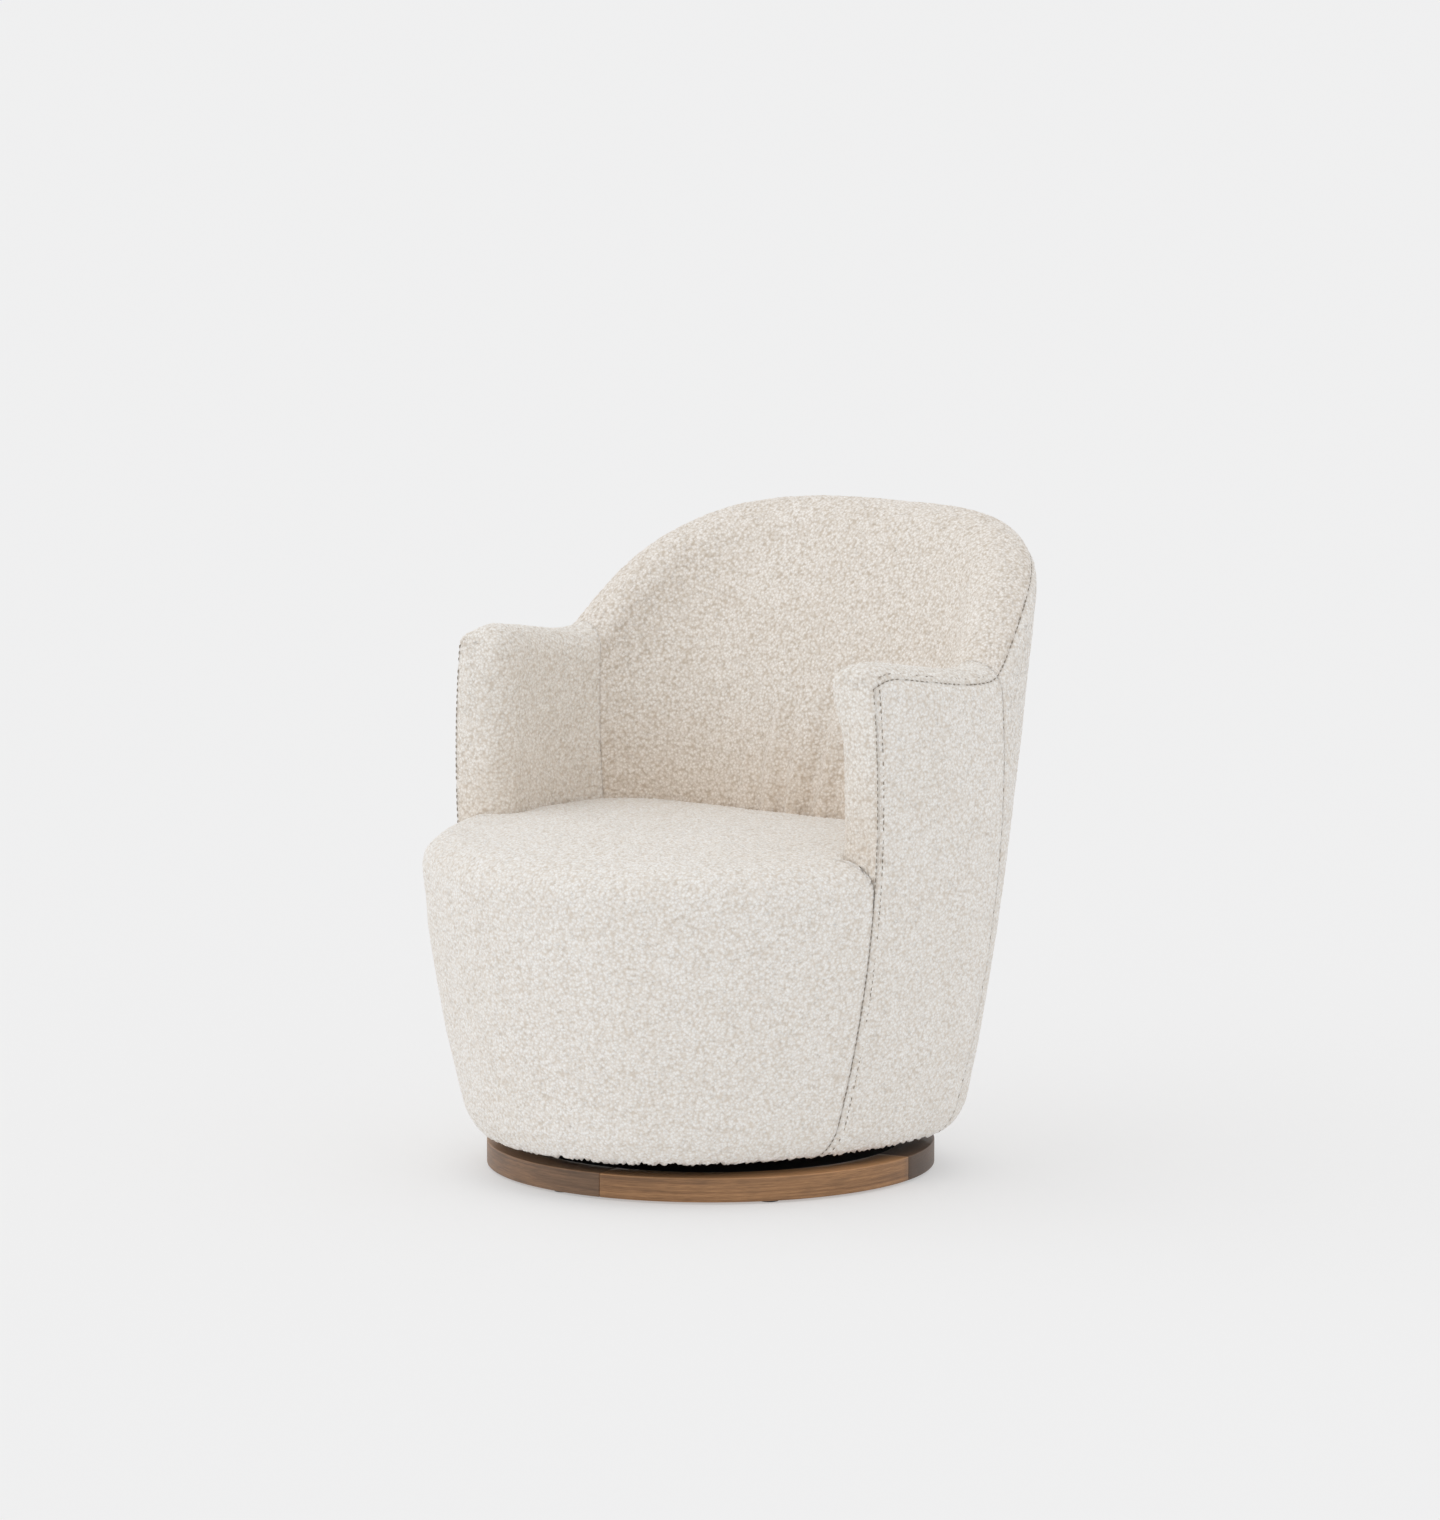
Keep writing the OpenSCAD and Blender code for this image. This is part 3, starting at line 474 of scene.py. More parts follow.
def front_section(turn):
    """The arm's section part-way round its front corner: turn goes from 0 to a quarter circle."""
    s = 1 + ARM_SOFT * (1 - math.sin(turn)) / ARM_LENGTH
    return inner_section(s, ARM_SOFT * (1 - math.cos(turn)), ARM_TOP_SOFT * (1 - math.cos(turn)))


def front_edge(n_roll, n_down):
    """Points down the seam at the arm's front, one for each point of a section."""
    shoulder = top_height(1) - ROLL
    f = np.linspace(seam_angle(1), 0, n_roll)
    z = np.linspace(shoulder, TUCK_Z, n_down + 1)[1:]
    return np.concatenate([wall(1, shoulder + ROLL * np.sin(f), ROLL - ROLL * np.cos(f)), wall(1, z, 0)])


def paired(line, rows, split=48):
    """Spreads a section's points so that its roll and its straight keep their own share of the rows."""
    roll = max(8, int(rows * 0.36))
    return np.concatenate([even(line[:split], roll), even(line[split - 1:], rows - roll + 1)[1:]])


def arm_grid():
    rows = count(length_of(inner_section(1.5)))
    run = np.linspace(BACK_SEAM, CORNER_S, count(ARM_RUN))
    columns = [paired(inner_section(s), rows) for s in run]
    turns = np.linspace(0, math.pi / 2, count(ARM_SOFT * 1.57))[1:]
    columns += [paired(front_section(t), rows) for t in turns]
    rim, edge = columns[-1], paired(front_edge(48, 89), rows)
    edge[:, 1] = rim[:, 1] = ARM_FRONT_Y
    columns += [mix(rim, edge, u) for u in np.linspace(0, 1, count(FACE_RUN))[1:]]
    return np.stack(columns)[::-1]


arm = arm_grid()
arm_gap = soft_seam_gap(arm, ["first", "low"], ["last"])
above = np.clip((arm[..., 2] - SEAT_H - 0.02) / 0.04, 0, 1)
near_front = np.exp(-((arm[..., 1] - ARM_FRONT_Y) / DOME_REACH) ** 2)
off_seam = 1 - np.exp(-(arm_gap / DOME_REACH) ** 2)
arm_lift = ARM_DOME * above * near_front * off_seam
arm_left = grid_panel("arm_left", arm, arm_gap, arm_lift, lining=0.010)
arm_right = grid_panel("arm_right", mirrored(arm), arm_gap[::-1], arm_lift[::-1], lining=0.010)
print("arm sheet", arm.shape)

# %% [markdown]
# ## Seat
# The seat and the front of the chair are one piece of cloth: it lies over a domed pad, rolls over
# the front edge in a soft quarter round and falls to the hem. Round the arms and the back it turns
# down into the crevice. Each column of points starts at the rim and runs straight to the seat's
# middle, so the columns never cross and no false crease forms where front and side meet. The front
# sheet is hung on the columns that lie ahead of the arms.

# %% Seat and front
EDGE_W, EDGE_H, SIDE_ROLL, FOLD = 0.058, 0.042, 0.014, 0.018
LOW_ROWS = 8
SEAM_GAP = 0.0008
FRONT_END = 0.9985
EDGE_RUN, TOP_RUN, APRON_RUN = 0.098, 0.26, 0.317
FRONT_RUN, RETURN_RUN, REAR_RUN = 0.86, 0.101, 0.90
CENTRE = np.array([0.0, SEAT_CENTRE_Y])


def rim_share(way, f):
    """How far along a ray from the seat's centre the rounded front edge has risen by the angle f."""
    z, off = SEAT_H - EDGE_H + EDGE_H * np.sin(f), EDGE_W * (1 - np.cos(f))
    low, high = np.zeros(f.shape), np.full(f.shape, 1.8)
    for _ in range(26):
        mid = (low + high) / 2
        x, y = way[0] * mid, SEAT_CENTRE_Y + way[1] * mid - WIDEST_Y
        across = half_width(z) - off - tuck(z)
        along = front_reach(z) + WIDEST_Y - off - tuck(z)
        inside = np.abs(x / across) ** FRONT_ROUND + np.abs(y / along) ** FRONT_ROUND < 1
        low, high = np.where(inside, mid, low), np.where(inside, high, mid)
    return low


def along_ray(way, share, height):
    return np.column_stack([CENTRE + way * share[:, None], height])


def to_middle(start, n):
    """From the top of the edge to near the centre, over the crown."""
    g = np.linspace(1, 0, n + 1)[1:-1]
    return along_ray(start[:2] - CENTRE, g, start[2] + SEAT_CROWN * (1 - g * g))


def front_column(s, edge_n, top_n):
    low = wall(s, np.linspace(-FOLD, 0, LOW_ROWS + 1)[:-1] + SEAT_H - EDGE_H, 0)
    way = wall(s, SEAT_H - EDGE_H, 0)[:2] - CENTRE
    f = np.linspace(0, math.pi / 2, edge_n - LOW_ROWS)
    edge = along_ray(way, rim_share(way, f), SEAT_H - EDGE_H + EDGE_H * np.sin(f))
    return np.concatenate([low, edge, to_middle(edge[-1], top_n)])


def arm_foot(u):
    """The seat's rim round an arm's front: across its face, then round its soft corner."""
    travel = u * (WALL - ARM_SOFT + ARM_SOFT * math.pi / 2)
    t = max(0, (travel - WALL + ARM_SOFT) / ARM_SOFT)
    y = ARM_FRONT_Y + ARM_SOFT * (1 - math.cos(t))
    outer_x = float(side_x(y, mix(SEAT_H - EDGE_H, SEAT_H - SIDE_ROLL, u), 0))
    x = outer_x - min(travel, WALL - ARM_SOFT) - ARM_SOFT * math.sin(t)
    return np.array([x - SEAM_GAP * math.sin(t), y - SEAM_GAP * math.cos(t)])


def return_column(u, edge_n, top_n):
    """The seat's section at a point of its rim round an arm's front, u from 0 outside to 1 inside."""
    at = arm_foot(u)
    way = at - CENTRE
    f = np.linspace(0, math.pi / 2, 90)
    front = rim_share(way, f)
    end = min(float(front[-1]), 1 - SIDE_ROLL / np.linalg.norm(way))
    share = 1 - (1 - end) * (1 - np.cos(np.linspace(0, math.pi / 2, edge_n - LOW_ROWS)))
    height = np.interp(-share, -front, SEAT_H - EDGE_H + EDGE_H * np.sin(f))
    near = np.clip(1 - (1 - share) * np.linalg.norm(way) / SIDE_ROLL, 0, 1)
    height -= u * u * (3 - 2 * u) * SIDE_ROLL * (1 - np.sqrt(1 - near ** 2))
    low = np.linspace(height[0] - FOLD, height[0], LOW_ROWS + 1)[:-1]
    edge = along_ray(way, share, height)
    return np.concatenate([along_ray(way, np.ones(LOW_ROWS), low), edge, to_middle(edge[-1], top_n)])


def wall_column(s, edge_n, top_n):
    depth = wall_depth(s, np.array([SEAT_H]))[0] + SEAM_GAP
    low = wall(s, np.linspace(TUCK_Z, SEAT_H - SIDE_ROLL, LOW_ROWS + 1), depth)
    way = low[-1, :2] - CENTRE
    f = np.linspace(0, math.pi / 2, edge_n - LOW_ROWS)
    share = 1 - SIDE_ROLL / np.linalg.norm(way) * (1 - np.cos(f))
    edge = along_ray(way, share, SEAT_H - SIDE_ROLL + SIDE_ROLL * np.sin(f))
    return np.concatenate([low[:-1], edge, to_middle(edge[-1], top_n)])


edge_n, top_n = max(24, count(EDGE_RUN)), count(TOP_RUN)
front_s = np.linspace(-FRONT_END, FRONT_END, count(FRONT_RUN))
return_u = np.linspace(0, 1, count(RETURN_RUN))[1:]
round_s = np.linspace(CORNER_S, 8 - CORNER_S, count(REAR_RUN))[1:-1]
rings = [front_column(s, edge_n, top_n) for s in front_s]
rings += [return_column(u, edge_n, top_n) for u in return_u]
rings += [wall_column(s, edge_n, top_n) for s in round_s]
rings += [return_column(u, edge_n, top_n) * np.array([-1, 1, 1]) for u in return_u[::-1]]
rings = np.stack(rings)
print("seat rings", rings.shape)


# %% Sew the seat's rings and front together
def seat_piece():
    m, n = rings.shape[:2]
    ids = np.arange(m * n).reshape(m, n)
    middle = m * n
    rows = count(APRON_RUN)
    z = np.linspace(HEM_Z, SEAT_H - EDGE_H - FOLD, rows)[:-1]
    apron = np.stack([wall(s, z, 0) for s in front_s])
    apron_ids = np.arange(apron.shape[0] * (rows - 1)).reshape(apron.shape[0], rows - 1) + middle + 1
    apron_ids = np.concatenate([apron_ids, ids[:len(front_s), :1]], axis=1)
    tip_point = [[0, SEAT_CENTRE_Y, SEAT_H + SEAT_CROWN]]
    points = np.concatenate([rings.reshape(-1, 3), tip_point, apron.reshape(-1, 3)])
    around = np.concatenate([ids, ids[:1]])

    def tip(cols):
        a = around[cols][:-1, -1]
        b = around[cols][1:, -1]
        return np.stack([a, b, np.full(len(a), middle), np.full(len(a), middle)], -1)

    every = np.arange(m + 1)
    quads = np.concatenate([sheet_faces(around), sheet_faces(apron_ids), tip(every)])
    front_cols = thinned(len(front_s), THIN)
    rear_cols = np.arange(len(front_s) - 1, m, THIN)
    cols = np.unique(np.concatenate([front_cols, rear_cols, [m - len(return_u), m]]))
    top = sheet_faces(around[np.ix_(cols, thinned(n, THIN))])
    low = sheet_faces(apron_ids[np.ix_(front_cols, thinned(rows, THIN))])
    coarse = np.concatenate([top, low, tip(cols)])
    side = np.concatenate([apron, rings[:len(front_s), :edge_n]], axis=1)
    gap = np.full(len(points), 1.0)
    side_gap = gap_to(side, "first", "last")
    gap[apron_ids[:, :-1].ravel()] = side_gap[:, :rows - 1].ravel()
    gap[ids[:len(front_s), :edge_n].ravel()] = side_gap[:, rows - 1:].ravel()
    hem = np.full(len(points), 1.0)
    hem[apron_ids[:, :-1].ravel()] = np.broadcast_to(z - HEM_Z, (len(front_s), rows - 1)).ravel()
    return panel("seat_and_front", points, quads, coarse, gap, np.zeros(len(points)), hem)


seat = seat_piece()


# %% [markdown]
# ## Topstitching
# Thick thread in a darker taupe runs in and beside the seams as short dashes, half sunk in the cloth.
# One stitch is a sphere drawn out into a spindle. It is copied along each seam, every copy turned to
# follow the line. There are hundreds, so the one that is copied has only a few dozen faces.

# %% One stitch
bpy.ops.object.select_all(action="DESELECT")
bpy.ops.mesh.primitive_uv_sphere_add(segments=6, ring_count=5, radius=0.0007, location=(0, 0, 0))
bpy.ops.object.mode_set(mode="EDIT")
bpy.ops.mesh.select_all(action="SELECT")
bpy.ops.transform.resize(value=(0.9, 0.9, 3.9))
bpy.ops.object.mode_set(mode="OBJECT")
one_stitch = bpy.context.object
stitch_points = np.array([v.co[:] for v in one_stitch.data.vertices])
stitch_faces = [list(p.vertices) for p in one_stitch.data.polygons]
bpy.data.objects.remove(one_stitch)
print("one stitch faces", len(stitch_faces))


# %% Rows of stitches
SKIPPED = 0.06
HEM_START = 0.004


def stitch_row(line, pitch, skip_seed):
    """Stitch meshes along a line of points, with a little unevenness."""
    spots = even(line, max(2, int(length_of(line) / pitch)))
    way = np.gradient(spots, axis=0)
    way /= np.linalg.norm(way, axis=1)[:, None]
    cells = np.column_stack([np.arange(len(spots)), np.full(len(spots), skip_seed), np.zeros(len(spots))])
    chance = scatter(cells, 31)
    points, faces = [], []
    for spot, along, c in zip(spots, way, chance):
        if c < SKIPPED:
            continue
        turn = np.array(Vector(along).to_track_quat("Z", "Y").to_matrix())
        stretch = np.array([1, 1, 0.75 + 0.4 * c])
        faces += [[v + len(points) * len(stitch_points) for v in f] for f in stitch_faces]
        points.append((stitch_points * stretch) @ turn.T + spot)
    return np.concatenate(points), faces


def stitch_piece(name, lines):
    points, faces = [], []
    for i, (line, pitch) in enumerate(lines):
        p, f = stitch_row(line, pitch, i + 1)
        start = sum(len(q) for q in points)
        points.append(p)
        faces += [[v + start for v in face] for face in f]
    mesh = bpy.data.meshes.new(name)
    mesh.from_pydata(np.concatenate(points).tolist(), [], faces)
    mesh.polygons.foreach_set("use_smooth", np.ones(len(faces), bool))
    piece = bpy.data.objects.new(name, mesh)
    bpy.context.scene.collection.objects.link(piece)
    print(name, "faces", len(faces))
    return piece


def seam_up_front(behind, low_sink, sink):
    """Line beside the seam between front and side, a distance behind it, deeper in the cloth higher up."""
    shoulder = top_height(1) - ROLL
    s = 1 + behind / ARM_LENGTH
    z = np.linspace(HEM_Z + HEM_START, shoulder, 120)
    f = np.linspace(0, seam_angle(s) - 0.02, 12)[1:]
    low = mix(low_sink, sink, np.clip((z - HEM_Z) / (SEAT_H - HEM_Z), 0, 1))
    radius = ROLL - sink
    over = wall(s, shoulder + radius * np.sin(f), ROLL - radius * np.cos(f))
    return np.concatenate([wall(s, z, low), over])


def seam_on_top(s0, s1, above, sink):
    """Line along the top edge, at an angle round the roll above the seam."""
    line, radius = [], ROLL - sink
    for s in np.linspace(s0, s1, 160):
        shoulder, angle = top_height(s) - ROLL, seam_angle(s) + above
        line.append(wall(s, shoulder + radius * math.sin(angle), ROLL - radius * math.cos(angle)))
    return np.array(line)


def other_side(line):
    return line * np.array([-1.0, 1.0, 1.0])


def seam_up_back(sink):
    """Line up the seam between side and back."""
    z = np.linspace(HEM_Z + HEM_START, top_height(BACK_SEAM) - ROLL, 120)
    return wall(BACK_SEAM, z, sink)


PITCH, WIDE_PITCH, SPARSE_PITCH = 0.0078, 0.0085, 0.0105
SUNK = 0.0012
ROW_GAP = 0.0085
side_lines = [(seam_up_front(0.0, SUNK, SUNK), PITCH),
              (seam_up_front(ROW_GAP, -0.0003, 0.0008), PITCH),
              (seam_on_top(1.01, BACK_SEAM - 0.02, 0, SUNK), PITCH),
              (seam_on_top(1.10, BACK_SEAM - 0.08, 0.22, 0.0006), WIDE_PITCH),
              (seam_up_back(0.0016), SPARSE_PITCH)]
back_line = seam_on_top(BACK_SEAM + 0.01, 8 - BACK_SEAM - 0.01, 0, SUNK)
stitches_left = stitch_piece("stitches_left", side_lines)
stitches_right = stitch_piece("stitches_right", [(other_side(line), pitch) for line, pitch in side_lines])
stitches_back = stitch_piece("stitches_back", [(back_line, PITCH)])

# %% [markdown]
# ## Plinth ring
# The ring is four curved lengths of solid wood butted end to end. The frame's own parts have the
# right shape but dead sharp edges, and a sharp edge never catches light. So each length is copied,
# its loose triangles are merged, and its edges get a bevel of about a millimetre.


# %% Bevelled ring segments
BEVEL, BEVEL_STEPS = 0.0013, 3
SHARP, SMOOTH = math.radians(40), math.radians(35)


def soft_copy(name, node):
    """A copy of a hard part with its edges rounded."""
    bpy.ops.object.select_all(action="DESELECT")
    source = frame["nodes"][node]
    piece = bpy.data.objects.new(name, source.data.copy())
    piece.data.materials.clear()
    bpy.context.scene.collection.objects.link(piece)
    bpy.context.view_layer.objects.active = piece
    piece.select_set(True)
    bpy.ops.object.mode_set(mode="EDIT")
    bpy.ops.mesh.select_all(action="SELECT")
    bpy.ops.mesh.remove_doubles(threshold=0.00002)
    bpy.ops.mesh.dissolve_limited(angle_limit=math.radians(0.2))
    bpy.ops.object.mode_set(mode="OBJECT")
    bevel = piece.modifiers.new("round", "BEVEL")
    bevel.width, bevel.segments, bevel.limit_method = BEVEL, BEVEL_STEPS, "ANGLE"
    bevel.angle_limit = SHARP
    bpy.ops.object.modifier_apply(modifier="round")
    bpy.ops.object.shade_smooth_by_angle(angle=SMOOTH)
    print(name, "faces", len(piece.data.polygons))
    return piece


ring = [soft_copy("ring_length_%d" % i, "ring_segment_%d" % i) for i in (1, 2, 3, 4)]

# %% [markdown]
# ## Finishes
# Each finish is built from patterns laid in the chair's own coordinates, so nothing slides when a
# part turns. Small helpers keep the wiring short: one adds a node and sets its values, one makes a
# range of colours, one starts a material with the values that stay the same all over it.


# %% Node helpers
class Finish:
    def __init__(self, name, rough=0.6, metal=0.0, sheen=0.0, specular=0.5, coat=0.0):
        self.material = bpy.data.materials.new(name)
        self.material.use_nodes = True
        self.tree = self.material.node_tree
        self.tree.nodes.clear()
        self.shader = self.add("ShaderNodeBsdfPrincipled")
        self.shader.inputs["Roughness"].default_value = rough
        self.shader.inputs["Metallic"].default_value = metal
        self.shader.inputs["Specular IOR Level"].default_value = specular
        self.shader.inputs["Sheen Weight"].default_value = sheen
        self.shader.inputs["Sheen Roughness"].default_value = 0.55
        self.shader.inputs["Coat Weight"].default_value = coat
        self.place = self.add("ShaderNodeTexCoord").outputs["Object"]
        end = self.add("ShaderNodeOutputMaterial")
        self.join(self.shader.outputs[0], end.inputs["Surface"])

    def add(self, kind, **values):
        node = self.tree.nodes.new(kind)
        for key, value in values.items():
            setattr(node, key, value)
        return node

    def join(self, a, b):
        self.tree.links.new(a, b)

    def feed(self, socket, value):
        if isinstance(value, bpy.types.NodeSocket):
            self.join(value, socket)
        else:
            socket.default_value = value

    def noise(self, scale, detail=3.0, rough=0.5, at=None):
        n = self.add("ShaderNodeTexNoise")
        n.inputs["Scale"].default_value = scale
        n.inputs["Detail"].default_value = detail
        n.inputs["Roughness"].default_value = rough
        self.join(at or self.place, n.inputs["Vector"])
        return n.outputs["Fac"]

    def cells(self, scale, at=None):
        n = self.add("ShaderNodeTexVoronoi", feature="F1")
        n.inputs["Scale"].default_value = scale
        self.join(at or self.place, n.inputs["Vector"])
        return n.outputs["Distance"]

    def stretched(self, scale, at=None):
        n = self.add("ShaderNodeMapping")
        n.inputs["Scale"].default_value = scale
        self.join(at or self.place, n.inputs["Vector"])
        return n.outputs[0]

    def ramp(self, value, stops):
        n = self.add("ShaderNodeValToRGB")
        ends = n.color_ramp.elements
        for end, (position, colour) in zip(ends, (stops[0], stops[-1])):
            end.position, end.color = position, (*colour, 1)
        for position, colour in stops[1:-1]:
            ends.new(position).color = (*colour, 1)
        self.feed(n.inputs[0], value)
        return n.outputs["Color"]

    def math(self, operation, a, b=0.0, clamp=False):
        n = self.add("ShaderNodeMath", operation=operation, use_clamp=clamp)
        self.feed(n.inputs[0], a)
        self.feed(n.inputs[1], b)
        return n.outputs[0]

    def blend(self, fac, a, b, mode="MIX"):
        n = self.add("ShaderNodeMix", data_type="RGBA", blend_type=mode)
        self.feed(n.inputs[0], fac)
        for socket, value in ((n.inputs[6], a), (n.inputs[7], b)):
            self.feed(socket, value if isinstance(value, bpy.types.NodeSocket) else (*value, 1))
        return n.outputs[2]

    def colour(self, value):
        self.feed(self.shader.inputs["Base Color"], value)

    def bump(self, height, distance, strength=1.0, under=None):
        n = self.add("ShaderNodeBump")
        n.inputs["Strength"].default_value = strength
        n.inputs["Distance"].default_value = distance
        self.join(height, n.inputs["Height"])
        if under:
            self.join(under, n.inputs["Normal"])
        self.join(n.outputs[0], self.shader.inputs["Normal"])
        return n.outputs[0]

    def roughness(self, value, low, high):
        n = self.add("ShaderNodeMapRange")
        self.join(value, n.inputs["Value"])
        n.inputs["To Min"].default_value, n.inputs["To Max"].default_value = low, high
        self.join(n.outputs[0], self.shader.inputs["Roughness"])


def dress(piece, finish):
    piece.data.materials.clear()
    piece.data.materials.append(finish.material)


print("helpers ready, ring lengths to stain", len(ring))

# %% [markdown]
# ### Boucle
# The mesh carries its own note of where a loop stands up, called loft. Standing loops are painted
# nearly white and the gaps beige: painted light on the loop tops and painted shade between them.
# Finer curls inside each loop come from a second pattern of small cells, and a slow drift of tone
# keeps the cloth from looking printed. The arms and the inside of the chair get darker, warmer
# copies of the cloth, and low down inside it is darker and warmer still: painted shade for the
# chair's own shade and the light its cream walls throw back at each other. Near the seams the
# cloth is painted darker as well, painted shade in the dips the thread pulls in.


# %% Boucle
PAINTED_SHADE_TOP = 0.56


def boucle(name, loop, gap, crevice=(1.0, 1.0, 1.0)):
    f = Finish(name, rough=0.93, sheen=0.25, specular=0.12)
    loft = f.add("ShaderNodeAttribute", attribute_name="loft").outputs["Fac"]
    seam = f.add("ShaderNodeAttribute", attribute_name="seam").outputs["Fac"]
    warp = f.add("ShaderNodeTexNoise")
    warp.inputs["Scale"].default_value = 260
    f.join(f.place, warp.inputs["Vector"])
    bent = f.add("ShaderNodeVectorMath", operation="MULTIPLY_ADD")
    f.join(warp.outputs["Color"], bent.inputs[0])
    bent.inputs[1].default_value = (0.0035, 0.0035, 0.0035)
    f.join(f.place, bent.inputs[2])
    curls = f.cells(270, at=bent.outputs[0])
    fibres = f.noise(1300, 2.0)
    ragged = f.math("ADD", curls, f.math("MULTIPLY", f.math("SUBTRACT", fibres, 0.5), 0.4))
    # Painted light and shade: the colour is lightest where a loop stands up (high loft, cell centres) and
    # darkest in the gaps between loops, following the relief.
    ragged = f.math("SUBTRACT", ragged, f.math("MULTIPLY", f.math("SUBTRACT", loft, 0.6), 0.16))
    middle, low = (tuple(mix(a, b, u) for a, b in zip(gap, loop)) for u in (0.62, 0.38))
    base = f.ramp(ragged, [(0.20, loop), (0.38, middle), (0.60, low), (0.86, gap)])
    slow = f.noise(9, 3.0)
    patch = f.ramp(slow, [(0.3, (0.975, 0.968, 0.958)), (0.7, (1.0, 1.0, 1.0))])
    base = f.blend(1.0, base, patch, "MULTIPLY")
    # Painted shade: from the seat up to 0.56 m the cloth is multiplied by the crevice colour, darkest at
    # the seat, standing for the chair's own shade low inside.
    height = f.add("ShaderNodeSeparateXYZ")
    f.join(f.place, height.inputs[0])
    under = f.math("SUBTRACT", PAINTED_SHADE_TOP, height.outputs[2])
    painted_shade_low = f.math("DIVIDE", under, PAINTED_SHADE_TOP - SEAT_H, True)
    base = f.blend(painted_shade_low, base, f.blend(1.0, base, crevice, "MULTIPLY"))
    # Painted shade: near a seam the cloth is blended towards a darker beige, the shade in the dip the
    # thread pulls in.
    base = f.blend(f.math("MULTIPLY", seam, 0.22), base, tuple(c * 0.62 for c in gap))
    f.colour(base)
    relief = f.bump(f.math("SUBTRACT", 1.0, curls), 0.0016, 0.65)
    f.bump(fibres, 0.0004, 0.35, relief)
    return f


# The arm and inside cloths are darker, warmer copies of the one cloth: painted shade for panels that face
# into the chair. Their third colour is the painted shade low inside the chair.
outside_cloth = boucle("loop_cloth", (1.0, 0.99, 0.97), (0.76, 0.69, 0.61))
arm_cloth_shaded = boucle("loop_cloth_arms_shaded", (1.0, 0.985, 0.955), (0.72, 0.65, 0.57), (0.97, 0.94, 0.91))
inside_cloth_shaded = boucle("loop_cloth_inside_shaded", (1.0, 0.965, 0.925), (0.67, 0.59, 0.50), (0.94, 0.89, 0.84))
clothed = {seat: outside_cloth, back_out: outside_cloth, side_left_out: outside_cloth,
           side_right_out: outside_cloth, arm_left: arm_cloth_shaded, arm_right: arm_cloth_shaded, back_in: inside_cloth_shaded}
for piece, cloth in clothed.items():
    dress(piece, cloth)
print("cloth on", len(clothed), "panels")


# %% Thread
def thread():
    f = Finish("taupe_thread", rough=0.75, sheen=0.2, specular=0.3)
    f.colour(f.ramp(f.noise(900), [(0.3, (0.20, 0.16, 0.12)), (0.7, (0.36, 0.30, 0.235))]))
    f.bump(f.noise(2600), 0.0002, 0.6)
    return f


taupe_thread = thread()
stitching = (stitches_left, stitches_right, stitches_back)
for piece in stitching:
    dress(piece, taupe_thread)
print("thread on", len(stitching), "groups of stitches")

# %% [markdown]
# ### Stained wood
# The grain runs round the ring. The pattern is therefore laid on a straightened ring: distance round
# it, height and depth, worked out from the angle. Each length of wood took the stain differently, the
# ends at the butt joints drank more of it, and a thin band along the top edge is painted paler: a
# painted highlight where that edge catches the light.


# %% Stained wood
def stained(name, seed, pale, deep, drift_to, joint=None, reach=0.35):
    f = Finish(name, rough=0.45, specular=0.35, coat=0.08)
    parts = f.add("ShaderNodeSeparateXYZ")
    f.join(f.place, parts.inputs[0])
    x, y, z = parts.outputs
    angle = f.math("ARCTAN2", y, x)
    radius = f.math("SQRT", f.math("ADD", f.math("MULTIPLY", x, x), f.math("MULTIPLY", y, y)))
    flat = f.add("ShaderNodeCombineXYZ")
    f.join(f.math("ADD", f.math("MULTIPLY", angle, 0.28), seed * 3.7), flat.inputs[0])
    f.join(z, flat.inputs[1])
    f.join(radius, flat.inputs[2])
    at = flat.outputs[0]
    long_grain = f.noise(1.0, 6.0, 0.62, f.stretched((9, 420, 420), at))
    pores = f.noise(1.0, 2.0, 0.5, f.stretched((60, 2300, 2300), at))
    figure = f.noise(1.0, 3.0, 0.55, f.stretched((14, 55, 55), at))
    base = f.ramp(long_grain, [(0.32, deep), (0.62, pale)])
    open_pores = f.math("MULTIPLY", f.math("SUBTRACT", 0.62, pores, True), 1.6, True)
    base = f.blend(open_pores, base, tuple(c * 0.35 for c in deep))
    blotch = f.math("MULTIPLY", f.math("SUBTRACT", figure, 0.47, True), 3.2, True)
    base = f.blend(f.math("MULTIPLY", blotch, 0.55), base, drift_to)
    if joint is not None:
        away = f.math("ABSOLUTE", f.math("SUBTRACT", angle, joint))
        near = f.math("SUBTRACT", 1.0, f.math("DIVIDE", away, reach), True)
        ragged = f.math("ADD", near, f.math("SUBTRACT", figure, 0.5))
        ragged = f.math("MULTIPLY", ragged, 1.5, True)
        base = f.blend(f.math("MULTIPLY", ragged, 0.45), base, drift_to)
    # Painted highlight: a thin band along the ring's top edge is blended paler, the light that edge
    # catches.
    top_edge_highlight = f.math("MULTIPLY", f.math("SUBTRACT", z, 0.0312, True), 420.0, True)
    base = f.blend(f.math("MULTIPLY", top_edge_highlight, 0.55), base, tuple(min(1, c * 1.9 + 0.03) for c in pale))
    f.colour(base)
    f.roughness(long_grain, 0.38, 0.62)
    relief = f.bump(pores, 0.00025, 0.5)
    f.bump(long_grain, 0.0004, 0.35, relief)
    return f


